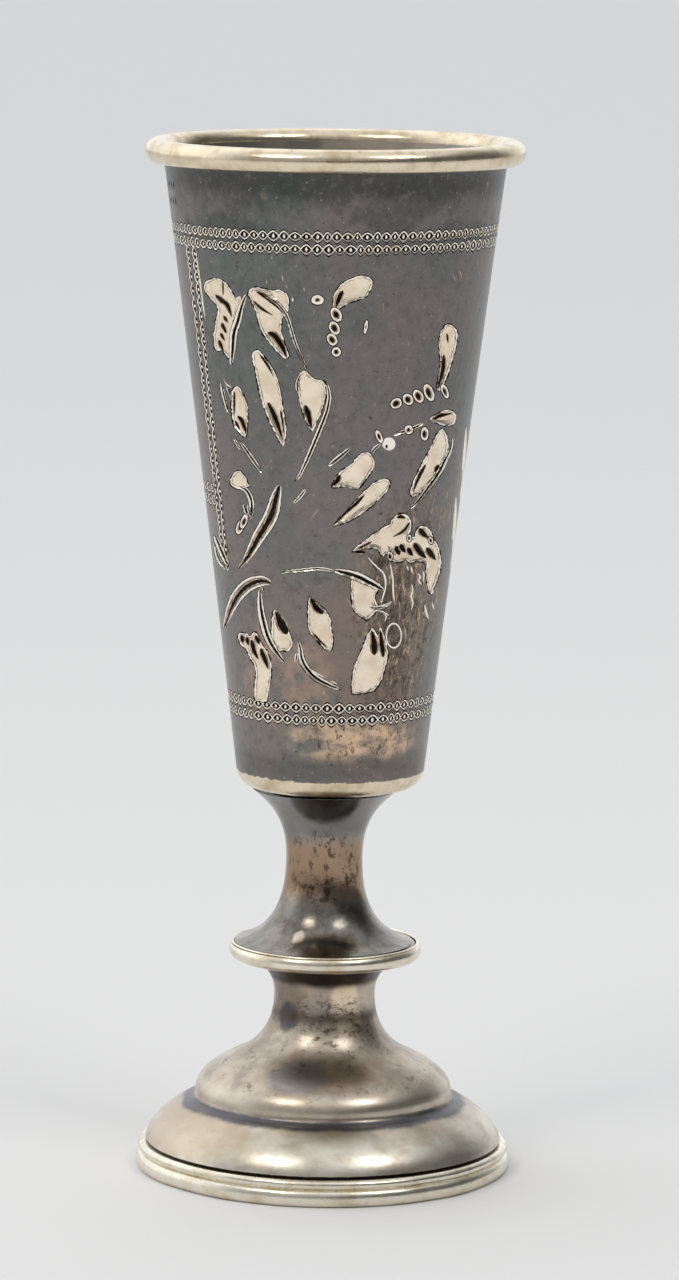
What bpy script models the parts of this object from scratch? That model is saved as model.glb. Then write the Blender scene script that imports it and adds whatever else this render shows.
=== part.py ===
"""A small footed kiddush cup of soldered sheet silver.

An engraved beaker with a rolled rim stands on a turned stem, a rounded collar, a stepped foot and a reeded foot
wire. Metres, +Z up, the front towards -Y, the origin on the ground under the middle of the foot.
"""

import math

import bmesh
import bpy
from mathutils import Vector

MM = 0.001

# Flat sides of the turned pieces, and the steps of each curve of a profile, outside and inside
WIDE_SIDES = 36
STEM_SIDES = 24
OUTER_STEPS = 4
INNER_STEPS = 3
ROLL_STEPS = 9

# Space left between two pieces that touch, and the wall of the foot and the stem
SEAM = 0.3 * MM
SHEET = 0.55 * MM

# Foot wire, with a wide lower reed and a narrow upper one
FOOT_WIRE_RADIUS = 19.05 * MM
FOOT_WIRE_WIDTH = 1.5 * MM
LOWER_REED_HEIGHT = 1.7 * MM
UPPER_REED_HEIGHT = 1.0 * MM
REED_BULGE = 0.55 * MM
UPPER_REED_SETBACK = 0.2 * MM

# Foot, from its lower edge up
FOOT_EDGE_SETBACK = 0.95 * MM
LOWER_DOME_RISE = 3.95 * MM
CREASE_RADIUS = 14.0 * MM
COVE_RISE = 0.95 * MM
UPPER_DOME_RADIUS = 13.05 * MM
UPPER_DOME_RISE = 3.9 * MM
SHOULDER_RADIUS = 8.8 * MM
FOOT_NECK_RISE = 6.2 * MM
FOOT_NECK_RADIUS = 5.1 * MM
FOOT_FLARE_RISE = 3.3 * MM
FOOT_FLARE_RADIUS = 6.8 * MM

# Collar between the foot and the stem
COLLAR_RADIUS = 9.75 * MM
COLLAR_HEIGHT = 1.75 * MM
COLLAR_BORE_RADIUS = 4.2 * MM
COLLAR_BEAD = 0.4 * MM

# Stem, from its lower lip up
STEM_LIP_HEIGHT = 0.5 * MM
STEM_LOWER_RISE = 8.6 * MM
STEM_NECK_RADIUS = 3.87 * MM
STEM_UPPER_RISE = 7.1 * MM
STEM_TOP_RADIUS = 7.4 * MM
STEM_SIDE_SHIFT = -0.2 * MM

# Bowl, from its underside up
BOWL_BASE_RADIUS = 9.5 * MM
BOWL_EDGE_HEIGHT = 1.7 * MM
BOWL_EDGE_INSET = 1.9 * MM
BOWL_TOP_RADIUS = 17.25 * MM
BOWL_RIM_HEIGHT = 64.1 * MM
BOWL_HOLLOWNESS = 0.1 * MM
BOWL_WALL = 0.7 * MM
RIM_ROLL_DIAMETER = 2.5 * MM
BOWL_SIDE_SHIFT = 0.3 * MM
BOWL_LEAN = math.radians(0.24)

# Engraving
CUT_DEPTH = 0.24 * MM
CUT_PROUD = 0.15 * MM
ROW_WIDTH = 0.7 * MM
ROW_SPACING = 1.25 * MM
LOW_BAND_HEIGHT = 8.8 * MM
HIGH_BAND_DROP = 8.0 * MM
PANEL_TURN = -88.0
PANEL_HALF_WIDTH = 29.0
PANEL_FOOT = 0.28
PANEL_SILL = 0.44
PANEL_LINE = 0.5 * MM
SPRIG_TURN = 92.0

# Points along a leaf, a stalk, an upright line and a line across, between its two ends
LEAF_STATIONS = 4
STALK_STATIONS = 6
UPRIGHT_STATIONS = 3
ACROSS_STATIONS = 8

# Leaves of the spray: where each starts and ends, as a turn from the front in degrees and a share of the height
# between the two bands, then its full width in millimetres
SPRAY_LEAVES = (
    ((-25, 0.93), (-18, 0.76), 3.0),
    ((-31, 0.80), (-21, 0.58), 2.5),
    ((-9, 0.77), (-8, 0.60), 2.8),
    ((14, 0.95), (0, 0.88), 2.0),
    ((48, 0.86), (48, 0.68), 1.5),
    ((17, 0.57), (-1, 0.48), 2.3),
    ((24, 0.51), (0, 0.40), 1.5),
    ((54, 0.62), (37, 0.46), 1.7),
    ((34, 0.42), (9, 0.34), 2.2),
    ((59, 0.36), (37, 0.33), 1.8),
    ((10, 0.30), (25, 0.19), 2.4),
    ((-29, 0.22), (-24, 0.10), 1.8),
    ((-10, 0.25), (-2, 0.11), 1.9),
    ((18, 0.02), (20, 0.18), 2.5),
    ((-39, 0.01), (-47, 0.16), 1.6),
    ((-40, 0.71), (-41, 0.58), 1.5),
    ((-47, 0.94), (-48, 0.78), 2.0),
)

# Stalks of the spray: both ends, the width in millimetres and the bow to one side in millimetres
SPRAY_STALKS = (
    ((-52, 0.28), (-23, 0.50), 1.2, 1.6),
    ((-30, 0.27), (-56, 0.14), 1.0, 1.3),
    ((-19, 0.88), (-10, 0.74), 0.5, 0.3),
    ((-25, 0.30), (28, 0.25), 0.5, 1.0),
    ((-17, 0.14), (5, 0.03), 0.5, -1.2),
)

# Leaves of the small sprig on the far side, in the same terms
SPRIG_LEAVES = (
    ((0, 0.62), (0, 0.80), 2.2),
    ((-3, 0.50), (-14, 0.64), 1.8),
    ((3, 0.50), (14, 0.64), 1.8),
    ((-3, 0.36), (-15, 0.48), 1.8),
    ((3, 0.36), (15, 0.48), 1.8),
)


def clear_scene():
    """Take every object out of the scene."""
    for item in list(bpy.data.objects):
        bpy.data.objects.remove(item, do_unlink=True)


def silver(name, colour, roughness):
    """A metal finish of one colour."""
    finish = bpy.data.materials.new(name)
    finish.use_nodes = True
    shader = finish.node_tree.nodes["Principled BSDF"]
    shader.inputs["Base Color"].default_value = (*colour, 1.0)
    shader.inputs["Metallic"].default_value = 1.0
    shader.inputs["Roughness"].default_value = roughness
    finish.diffuse_color = (*colour, 1.0)
    return finish


def arc(middle, radius, start, end, steps, squash=1.0):
    """Points along an arc of a profile, its height squashed where it is an ellipse."""
    points = []
    for step in range(steps + 1):
        angle = math.radians(start + (end - start) * step / steps)
        across = middle[0] + radius * math.cos(angle)
        points.append((across, middle[1] + squash * radius * math.sin(angle)))
    return points


def sweep(start, start_pull, end_pull, end, steps):
    """Points along a Bezier curve of a profile."""
    points = []
    for step in range(steps + 1):
        t = step / steps
        s = 1.0 - t
        weights = (s ** 3, 3 * s * s * t, 3 * s * t * t, t ** 3)
        corners = (start, start_pull, end_pull, end)
        points.append(tuple(sum(w * corner[k] for w, corner in zip(weights, corners)) for k in (0, 1)))
    return points


def joined(*runs):
    """One profile out of several runs, without the points that two runs share."""
    points = []
    for run in runs:
        for point in run:
            if not points or math.dist(point, points[-1]) > 0.001 * MM:
                points.append(point)
    return points


def inset(points, wall):
    """The same run of a profile moved inwards by the wall, square to its slope."""
    moved = []
    for index, (radius, height) in enumerate(points):
        before = points[max(index - 1, 0)]
        after = points[min(index + 1, len(points) - 1)]
        along = Vector((after[0] - before[0], after[1] - before[1])).normalized()
        moved.append((radius - wall * along.y, height + wall * along.x))
    return moved


def turned(name, profile, sides, finish, closed=True):
    """A solid of revolution from a profile of radius and height."""
    body = bmesh.new()
    points = [body.verts.new((radius, 0.0, height)) for radius, height in profile]
    pairs = list(zip(points, points[1:]))
    if closed:
        pairs.append((points[-1], points[0]))
    lines = [body.edges.new(pair) for pair in pairs]
    bmesh.ops.spin(
        body,
        geom=points + lines,
        cent=(0.0, 0.0, 0.0),
        axis=(0.0, 0.0, 1.0),
        angle=math.tau,
        steps=sides,
        use_merge=True,
    )
    bmesh.ops.remove_doubles(body, verts=body.verts, dist=0.001 * MM)
    bmesh.ops.recalc_face_normals(body, faces=body.faces)
    mesh = bpy.data.meshes.new(name)
    body.to_mesh(mesh)
    body.free()
    mesh.shade_smooth()
    mesh.set_sharp_from_angle(angle=math.radians(35))
    mesh.materials.append(finish)
    item = bpy.data.objects.new(name, mesh)
    bpy.context.collection.objects.link(item)
    return item


def foot_wire_height():
    """Height of the whole foot wire."""
    return LOWER_REED_HEIGHT + UPPER_REED_HEIGHT


def make_foot_wire(finish):
    """The reeded wire that the cup stands on, flat below and inside."""
    inner = FOOT_WIRE_RADIUS - FOOT_WIRE_WIDTH
    lower_middle = (FOOT_WIRE_RADIUS - REED_BULGE, LOWER_REED_HEIGHT / 2)
    upper_middle = (lower_middle[0] - UPPER_REED_SETBACK, LOWER_REED_HEIGHT + UPPER_REED_HEIGHT / 2)
    lower = arc(lower_middle, REED_BULGE, -90, 80, 5, squash=LOWER_REED_HEIGHT / 2 / REED_BULGE)
    upper = arc(upper_middle, REED_BULGE, -70, 90, 4, squash=UPPER_REED_HEIGHT / 2 / REED_BULGE)
    profile = joined([(inner, 0.0)], lower, upper, [(inner, foot_wire_height())])
    return turned("foot_rim", profile, WIDE_SIDES, finish)


def foot_outline(steps):
    """The foot's outside from its lower edge to its flare, its height counted from the edge."""
    edge = FOOT_WIRE_RADIUS - FOOT_EDGE_SETBACK
    crease = LOWER_DOME_RISE
    ledge = crease + COVE_RISE
    shoulder = ledge + UPPER_DOME_RISE
    waist = shoulder + FOOT_NECK_RISE
    top = waist + FOOT_FLARE_RISE
    lower_dome = sweep(
        (edge, 0.0),
        (edge - 0.12 * (edge - CREASE_RADIUS), 0.42 * crease),
        (CREASE_RADIUS + 0.48 * (edge - CREASE_RADIUS), 0.76 * crease),
        (CREASE_RADIUS, crease),
        steps,
    )
    cove = sweep(
        (CREASE_RADIUS, crease),
        (CREASE_RADIUS - 0.7 * (CREASE_RADIUS - UPPER_DOME_RADIUS), crease + 0.2 * COVE_RISE),
        (UPPER_DOME_RADIUS, ledge - 0.6 * COVE_RISE),
        (UPPER_DOME_RADIUS, ledge),
        steps - 1,
    )
    upper_dome = sweep(
        (UPPER_DOME_RADIUS, ledge),
        (UPPER_DOME_RADIUS, ledge + 0.42 * UPPER_DOME_RISE),
        (SHOULDER_RADIUS + 0.56 * (UPPER_DOME_RADIUS - SHOULDER_RADIUS), shoulder - 0.28 * UPPER_DOME_RISE),
        (SHOULDER_RADIUS, shoulder),
        steps,
    )
    neck = sweep(
        (SHOULDER_RADIUS, shoulder),
        (FOOT_NECK_RADIUS + 0.38 * (SHOULDER_RADIUS - FOOT_NECK_RADIUS), shoulder + 0.18 * FOOT_NECK_RISE),
        (FOOT_NECK_RADIUS, waist - 0.5 * FOOT_NECK_RISE),
        (FOOT_NECK_RADIUS, waist),
        steps,
    )
    flare = sweep(
        (FOOT_NECK_RADIUS, waist),
        (FOOT_NECK_RADIUS, waist + 0.4 * FOOT_FLARE_RISE),
        (FOOT_NECK_RADIUS + 0.35 * (FOOT_FLARE_RADIUS - FOOT_NECK_RADIUS), waist + 0.72 * FOOT_FLARE_RISE),
        (FOOT_FLARE_RADIUS, top),
        steps - 1,
    )
    return joined(lower_dome, cove, upper_dome, neck, flare)


def hollow_turned(name, outside, inner_run, sides, finish):
    """A turned tube of sheet, open at both ends, with flat edges."""
    inside = inset(inner_run, SHEET)
    inside[0] = (inside[0][0], outside[0][1])
    inside[-1] = (inside[-1][0], outside[-1][1])
    return turned(name, outside + inside[::-1], sides, finish)


def make_foot(finish):
    """The stepped foot, one sheet, open below and above."""
    return hollow_turned("foot", foot_outline(OUTER_STEPS), foot_outline(INNER_STEPS), WIDE_SIDES, finish)


def make_collar(finish):
    """The rounded collar, recessed above for the lip of the stem."""
    recess = STEM_LIP_HEIGHT + SEAM
    ledge_radius = COLLAR_RADIUS - COLLAR_BEAD
    bulge = COLLAR_HEIGHT / 2
    rounded = arc((COLLAR_RADIUS - bulge, bulge), bulge, -90, 55, 6)
    crest = (ledge_radius + 0.3 * COLLAR_BEAD, COLLAR_HEIGHT)
    profile = joined(
        [(COLLAR_BORE_RADIUS, 0.0)],
        rounded,
        [crest, (ledge_radius, COLLAR_HEIGHT)],
        [(ledge_radius, COLLAR_HEIGHT - recess), (COLLAR_BORE_RADIUS, COLLAR_HEIGHT - recess)],
    )
    return turned("knop_ring", profile, WIDE_SIDES, finish)


def stem_outline(steps):
    """The stem's outside above its lip to its top edge, its height counted from the lower edge."""
    lip = COLLAR_RADIUS - COLLAR_BEAD - SEAM
    neck = STEM_LIP_HEIGHT + STEM_LOWER_RISE
    top = neck + STEM_UPPER_RISE
    lower = sweep(
        (lip, STEM_LIP_HEIGHT),
        (STEM_NECK_RADIUS + 0.46 * (lip - STEM_NECK_RADIUS), STEM_LIP_HEIGHT + 0.1 * STEM_LOWER_RISE),
        (STEM_NECK_RADIUS, neck - 0.69 * STEM_LOWER_RISE),
        (STEM_NECK_RADIUS, neck),
        steps + 3,
    )
    upper = sweep(
        (STEM_NECK_RADIUS, neck),
        (STEM_NECK_RADIUS, neck + 0.5 * STEM_UPPER_RISE),
        (STEM_NECK_RADIUS + 0.35 * (STEM_TOP_RADIUS - STEM_NECK_RADIUS), neck + 0.74 * STEM_UPPER_RISE),
        (STEM_TOP_RADIUS, top),
        steps,
    )
    return joined(lower, upper)


def make_stem(finish):
    """The turned stem, one sheet with an upright lip, open below and above."""
    outside = stem_outline(OUTER_STEPS)
    foot_of_lip = (outside[0][0], 0.0)
    return hollow_turned("stem", [foot_of_lip] + outside, stem_outline(INNER_STEPS), STEM_SIDES, finish)


def wall_radius(height):
    """The bowl's outer radius at a height above its underside."""
    share = (height - BOWL_EDGE_HEIGHT) / (BOWL_RIM_HEIGHT - BOWL_EDGE_HEIGHT)
    straight = BOWL_BASE_RADIUS + share * (BOWL_TOP_RADIUS - BOWL_BASE_RADIUS)
    return straight - BOWL_HOLLOWNESS * 4 * share * (1 - share)


def band_rows():
    """The heights of the four turned rows of the two bands, from the lowest up."""
    high = BOWL_RIM_HEIGHT - HIGH_BAND_DROP
    return (
        LOW_BAND_HEIGHT - ROW_SPACING / 2,
        LOW_BAND_HEIGHT + ROW_SPACING / 2,
        high - ROW_SPACING / 2,
        high + ROW_SPACING / 2,
    )


def bowl_outline():
    """The bowl's profile from the middle of its underside, over the rim, to the middle of its floor."""
    base = (wall_radius(BOWL_EDGE_HEIGHT), BOWL_EDGE_HEIGHT)
    edge = sweep(
        (base[0] - BOWL_EDGE_INSET, 0.0),
        (base[0] - 0.45 * BOWL_EDGE_INSET, 0.0),
        (base[0] - 0.08 * BOWL_EDGE_INSET, 0.45 * BOWL_EDGE_HEIGHT),
        base,
        OUTER_STEPS,
    )
    wall = []
    for height in band_rows():
        for step, depth in ((-0.5, 0.0), (0.0, CUT_DEPTH), (0.5, 0.0)):
            level = height + step * ROW_WIDTH
            wall.append((wall_radius(level) - depth, level))
    roll = RIM_ROLL_DIAMETER / 2
    leaves_wall = -math.degrees(math.acos((BOWL_WALL - roll) / roll))
    rim = arc((BOWL_TOP_RADIUS - BOWL_WALL + roll, BOWL_RIM_HEIGHT), roll, leaves_wall, 180, ROLL_STEPS)
    middle = (wall[5][1] + wall[6][1]) / 2
    inside = [(wall_radius(level) - BOWL_WALL, level) for level in (middle, BOWL_EDGE_HEIGHT)]
    floor = [(base[0] - BOWL_EDGE_INSET, BOWL_WALL), (0.0, BOWL_WALL)]
    return joined([(0.0, 0.0)], edge, wall[:6], [(wall_radius(middle), middle)], wall[6:], rim, inside, floor)


def field_height(share):
    """The height above the bowl's underside of a share of the field between the bands."""
    rows = band_rows()
    low = rows[1] + ROW_WIDTH / 2
    high = rows[2] - ROW_WIDTH / 2
    return low + share * (high - low)


def on_wall(turn, height, proud):
    """A point on the outside of the bowl, moved out by proud."""
    radius = wall_radius(height) + proud
    angle = math.radians(turn)
    return Vector((radius * math.sin(angle), -radius * math.cos(angle), height))


def stroke_path(start, end, bow, stations):
    """Turns and heights along a stroke, bowed to its left by a length."""
    low = field_height(start[1])
    high = field_height(end[1])
    radius = wall_radius((low + high) / 2)
    across = math.radians(end[0] - start[0]) * radius
    length = math.hypot(across, high - low)
    path = []
    for step in range(stations + 2):
        t = step / (stations + 1)
        push = bow * 4 * t * (1 - t)
        turn = start[0] + t * (end[0] - start[0]) - math.degrees(push * (high - low) / length / radius)
        path.append((turn, low + t * (high - low) + push * across / length))
    return path


def leaf_width(t):
    """How full a leaf is along its length, fullest near its head."""
    return math.sin(math.pi * t ** 0.75)


def stalk_width(t):
    """How full a stalk is along its length."""
    return math.sin(math.pi * t) ** 0.4


def add_cut(body, path, width, fullness):
    """A wedge along a path, its keel under the wall, which cuts a groove of the given width."""
    ends = [body.verts.new(on_wall(*path[0], CUT_PROUD)), body.verts.new(on_wall(*path[-1], CUT_PROUD))]
    rings = []
    for index in range(1, len(path) - 1):
        share = fullness(index / (len(path) - 1))
        crest = on_wall(*path[index], CUT_PROUD)
        along = on_wall(*path[index + 1], 0.0) - on_wall(*path[index - 1], 0.0)
        outward = Vector((crest.x, crest.y, 0.0)).normalized()
        side = outward.cross(along).normalized()
        spread = side * share * width / 2 * (CUT_PROUD + CUT_DEPTH) / CUT_DEPTH
        keel = on_wall(*path[index], -CUT_DEPTH)
        rings.append([body.verts.new(point) for point in (crest + spread, keel, crest - spread)])
    for tip, ring, flip in ((ends[0], rings[0], False), (ends[1], rings[-1], True)):
        for k in range(3):
            corners = [tip, ring[k], ring[(k + 1) % 3]]
            body.faces.new(corners[::-1] if flip else corners)
    for ring, following in zip(rings, rings[1:]):
        for k in range(3):
            body.faces.new((ring[k], following[k], following[(k + 1) % 3], ring[(k + 1) % 3]))


def add_leaves(body, leaves, turn, hand):
    """Cuts for a group of leaves, turned about the bowl, mirrored where hand is -1."""
    for start, end, width in leaves:
        first = (turn + hand * start[0], start[1])
        last = (turn + hand * end[0], end[1])
        add_cut(body, stroke_path(first, last, 0.0, LEAF_STATIONS), width * MM, leaf_width)


def add_spray(body, leaves, turn, hand):
    """Cuts for a spray of leaves with all its stalks."""
    add_leaves(body, leaves, turn, hand)
    for start, end, width, bow in SPRAY_STALKS:
        first = (turn + hand * start[0], start[1])
        last = (turn + hand * end[0], end[1])
        path = stroke_path(first, last, hand * bow * MM, STALK_STATIONS)
        add_cut(body, path, width * MM, stalk_width)


def add_panel(body):
    """Cuts for the plain panel: a double line down each side and a double line across."""
    field = field_height(1.0) - field_height(0.0)
    spread = math.degrees(ROW_SPACING / 2 / wall_radius(field_height(PANEL_SILL)))
    reach = PANEL_HALF_WIDTH - 2 * spread
    for offset in (-1, 1):
        for side in (-1, 1):
            turn = PANEL_TURN + side * PANEL_HALF_WIDTH + offset * spread
            path = stroke_path((turn, PANEL_FOOT), (turn, 1.0), 0.0, UPRIGHT_STATIONS)
            add_cut(body, path, PANEL_LINE, stalk_width)
        sill = PANEL_SILL + offset * ROW_SPACING / 2 / field
        path = stroke_path((PANEL_TURN - reach, sill), (PANEL_TURN + reach, sill), 0.0, ACROSS_STATIONS)
        add_cut(body, path, PANEL_LINE, stalk_width)


def make_engraving(bowl):
    """All the cuts of the engraving as one hidden cutter that goes with the bowl."""
    body = bmesh.new()
    add_spray(body, SPRAY_LEAVES, 0.0, 1)
    add_spray(body, SPRAY_LEAVES[::2], 2 * PANEL_TURN, -1)
    add_leaves(body, SPRIG_LEAVES, SPRIG_TURN, 1)
    add_panel(body)
    bmesh.ops.recalc_face_normals(body, faces=body.faces)
    mesh = bpy.data.meshes.new("engraving_cutter")
    body.to_mesh(mesh)
    body.free()
    cutter = bpy.data.objects.new("engraving_cutter", mesh)
    bpy.context.collection.objects.link(cutter)
    cutter.display_type = "WIRE"
    cutter.hide_render = True
    cutter.parent = bowl
    cut = bowl.modifiers.new("engraving", "BOOLEAN")
    cut.operation = "DIFFERENCE"
    cut.object = cutter
    cut.solver = "EXACT"
    cut.use_self = True


def make_bowl(finish):
    """The beaker, hollow, with its rolled rim, turned bands and engraved leaves."""
    bowl = turned("bowl", bowl_outline(), WIDE_SIDES, finish, closed=False)
    make_engraving(bowl)
    return bowl


def build():
    """Make every piece and stack them up from the ground."""
    clear_scene()
    pale = silver("pale_silver", (0.78, 0.71, 0.60), 0.25)
    warm = silver("warm_grey_silver", (0.45, 0.40, 0.35), 0.32)
    dark = silver("oxidised_silver", (0.16, 0.16, 0.18), 0.38)
    cup = bpy.data.objects.new("cup", None)
    bpy.context.collection.objects.link(cup)

    foot_rim = make_foot_wire(pale)
    foot = make_foot(warm)
    collar = make_collar(pale)
    stem = make_stem(warm)
    bowl = make_bowl(dark)

    foot.location.z = foot_wire_height() + SEAM
    collar.location.z = foot.location.z + foot_outline(OUTER_STEPS)[-1][1] + SEAM
    stem.location.z = collar.location.z + COLLAR_HEIGHT - STEM_LIP_HEIGHT
    stem.location.x = STEM_SIDE_SHIFT
    bowl.location.z = stem.location.z + stem_outline(OUTER_STEPS)[-1][1] + SEAM
    bowl.location.x = BOWL_SIDE_SHIFT
    bowl.rotation_euler.y = -BOWL_LEAN
    for piece in (foot_rim, foot, collar, stem, bowl):
        piece.parent = cup


build()
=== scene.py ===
"""Looks of a small footed kiddush cup of soldered sheet silver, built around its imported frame.

Metres, +Z up, the front towards -Y. Profiles are in millimetres above each piece's own lower edge.
The engraving of the front is laid out in pixels of the 679 x 1280 front picture and thrown from the camera
onto the bowl's wall.
"""

import math
import random
from collections import namedtuple

import bmesh
import bpy
import numpy as np
from mathutils import Matrix, Vector, geometry, kdtree


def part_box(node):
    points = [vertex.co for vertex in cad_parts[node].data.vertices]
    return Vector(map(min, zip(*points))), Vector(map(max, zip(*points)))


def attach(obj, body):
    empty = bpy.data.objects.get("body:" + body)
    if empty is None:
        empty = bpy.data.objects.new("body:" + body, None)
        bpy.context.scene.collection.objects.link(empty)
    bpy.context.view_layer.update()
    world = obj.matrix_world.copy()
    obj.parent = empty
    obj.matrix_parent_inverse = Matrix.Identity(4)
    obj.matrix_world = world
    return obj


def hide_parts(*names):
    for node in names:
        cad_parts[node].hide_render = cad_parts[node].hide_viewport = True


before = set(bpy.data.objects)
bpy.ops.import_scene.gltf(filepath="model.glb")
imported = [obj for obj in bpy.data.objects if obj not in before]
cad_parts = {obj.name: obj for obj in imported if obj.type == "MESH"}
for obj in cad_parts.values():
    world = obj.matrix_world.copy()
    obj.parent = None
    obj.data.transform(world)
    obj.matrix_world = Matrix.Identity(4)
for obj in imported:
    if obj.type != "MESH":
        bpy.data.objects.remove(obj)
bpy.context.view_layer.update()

MM = 0.001

# Picture and camera
PICTURE_WIDE = 679.0
PICTURE_TALL = 1280.0
FOCAL_PIXELS = 5858.0
SENSOR_WIDE = 36.0
CAMERA_PLACE = Vector((0.00105, -0.585, 0.13962))
CAMERA_DIP = math.radians(8.31)
CAMERA_ROLL = math.radians(0.77)

# Columns of faces around each turned piece, and the turn at which the bowl's unrolled wall begins
COLUMNS = 240
SEAM_TURN = -244.5

# Heights on the ground of each piece, from the frame
FOOT_WIRE_LOW, FOOT_WIRE_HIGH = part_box("foot_rim")
FOOT_LOW, FOOT_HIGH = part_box("foot")
COLLAR_LOW, COLLAR_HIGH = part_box("knop_ring")
STEM_LOW, STEM_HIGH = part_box("stem")
SEAM = 0.3
SHEET_WALL = 0.55

# Foot wire, in millimetres
WIRE_WIDTH = 1.5
LOWER_REED = 1.7
REED_BULGE = 0.55
UPPER_SETBACK = 0.2

# Dents of the foot wire: middle and half width in degrees of turn, and depth
WIRE_DENTS = ((-46.0, 17.0, 0.3), (-24.0, 5.0, 0.09), (-18.0, 2.6, 0.08), (36.0, 6.0, 0.12),
              (62.0, 12.0, 0.16), (-130.0, 14.0, 0.18), (-205.0, 9.0, 0.14))

# Runs of the foot's outside from its lower edge: rise, radius at the top, two pulls of the curve, share of steps
FOOT_RUNS = (
    (3.95, 14.0, (0.88, 0.42), (0.48, 0.76), 1.0),
    (0.95, 13.05, (0.3, 0.2), (0.0, 0.4), 0.5),
    (3.9, 8.8, (1.0, 0.42), (0.56, 0.72), 1.0),
    (6.2, 5.1, (0.38, 0.18), (0.0, 0.5), 1.0),
    (3.3, 6.8, (1.0, 0.4), (0.65, 0.72), 0.5),
)

# Collar and stem
COLLAR_BORE = 4.2
COLLAR_BEAD = 0.4
STEM_LIP = 0.5
STEM_NECK_RISE = 9.1
STEM_NECK_RADIUS = 3.87
STEM_TOP_RADIUS = 7.4
STEM_SKIRT_PULLS = ((0.46, 0.1), (0.0, 0.31))
STEM_FLARE_PULLS = ((1.0, 0.5), (0.65, 0.74))

# Bowl, above its underside
BOWL_BASE_RADIUS = 9.5
BOWL_EDGE_HEIGHT = 1.7
BOWL_EDGE_INSET = 1.9
BOWL_EDGE_PULLS = ((0.45, 0.0), (0.08, 0.45))
BOWL_TOP_RADIUS = 17.25
BOWL_RIM_HEIGHT = 64.1
BOWL_HOLLOWNESS = 0.1
BOWL_WALL = 0.7
RIM_ROLL = 1.25
RIM_TUBE = 1.203
BOWL_SIDE_SHIFT = 0.3
BOWL_LEAN = math.radians(0.24)

# Engraving, in millimetres on the wall
UNROLLED_RADIUS = 13.3
SHEET_LOW = 2.2
SHEET_HIGH = 62.4
SHEET_ROW = 1.0
SHEET_MARGIN = 0.01
ROW_WIDTH = 1.04
ROW_SPACING = 1.25
ROW_PITCH = 1.0
LOW_BAND = 8.8
HIGH_BAND = 56.1
PANEL_TURN = -88.0
PANEL_ROW_PITCH = 1.35
PANEL_ROW_WIDTH = 0.96
LEAF_DEPTH = 0.13
SLIT_DEPTH = 0.24
LINE_DEPTH = 0.12
LEAF_STEP = 2.2
LINE_STEP = 2.4
KEEL_SIDE = 0.36
KEEL_FADE = 0.35
MARK_CLEARANCE = 0.24
WELD = 0.002

# Pale sides of the studio: direction, where it begins, where it is full, and how full
PALE_SIDES = (((-0.5, 0.866, 0.0), -0.15, 0.7, 1.0), ((0.0, 0.0, 1.0), 0.4, 1.0, 0.5))
DIM_AIR = (0.11, 0.11, 0.11, 1.0)
PALE_AIR = (1.08, 1.095, 1.11, 1.0)

# Soft lights: name, place and colour
SOFTBOXES = (
    ("left_box", (-0.38, -0.42, 0.70), (1.0, 0.95, 0.86)),
    ("right_box", (0.41, -0.38, 0.72), (1.0, 0.97, 0.95)),
)
SOFTBOX_WIDE = 0.27
SOFTBOX_TALL = 0.21
SOFTBOX_RADIANCE = 5.2
LIGHTS_AIM = (0.0, 0.0, 0.06)

# Faces of the bowl by finish; the brownish finish is painted shade round the cuts and the colour of faint
# scratches.
WALL, BRIGHT, DARK, PALE, INSIDE, SHADE_AND_SCRATCH, CREAM = range(7)


def camera_turn():
    """The camera's rotation: level and looking along +Y, then dipped, with a slight roll."""
    return Matrix.Rotation(math.radians(90) - CAMERA_DIP, 3, "X") @ Matrix.Rotation(CAMERA_ROLL, 3, "Z")


def bowl_place():
    """The bowl's place: on the stem, a little to one side and leaning."""
    base = STEM_HIGH.z + SEAM * MM
    return Matrix.Translation((BOWL_SIDE_SHIFT * MM, 0.0, base)) @ Matrix.Rotation(-BOWL_LEAN, 4, "Y")


def wall_radius(height):
    """The bowl's outer radius at a height above its underside."""
    share = (height - BOWL_EDGE_HEIGHT) / (BOWL_RIM_HEIGHT - BOWL_EDGE_HEIGHT)
    straight = BOWL_BASE_RADIUS + share * (BOWL_TOP_RADIUS - BOWL_BASE_RADIUS)
    return straight - BOWL_HOLLOWNESS * 4 * share * (1 - share)


def unrolled(turn, height):
    """A point of the wall on its unrolled sheet."""
    return Vector((math.radians(turn) * UNROLLED_RADIUS, height))


def thrown(pixel):
    """The point of the unrolled sheet that a pixel of the front picture falls on."""
    home = bowl_place().inverted()
    across = (pixel[0] - PICTURE_WIDE / 2) / FOCAL_PIXELS
    up = (PICTURE_TALL / 2 - pixel[1]) / FOCAL_PIXELS
    start = home @ CAMERA_PLACE / MM
    ray = home.to_3x3() @ camera_turn() @ Vector((across, up, -1.0))
    flat = ray.x ** 2 + ray.y ** 2
    along = start.x * ray.x + start.y * ray.y
    height = BOWL_RIM_HEIGHT / 2
    for _ in range(8):
        gap = start.x ** 2 + start.y ** 2 - wall_radius(height) ** 2
        reach = (-along - math.sqrt(max(along ** 2 - flat * gap, 0.0))) / flat
        height = start.z + reach * ray.z
    met = start + reach * ray
    return unrolled(math.degrees(math.atan2(met.x, -met.y)), height)


def mirrored(point):
    """The same point of the sheet on the other side of the plain panel."""
    return Vector((2 * math.radians(PANEL_TURN) * UNROLLED_RADIUS - point.x, point.y))


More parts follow.
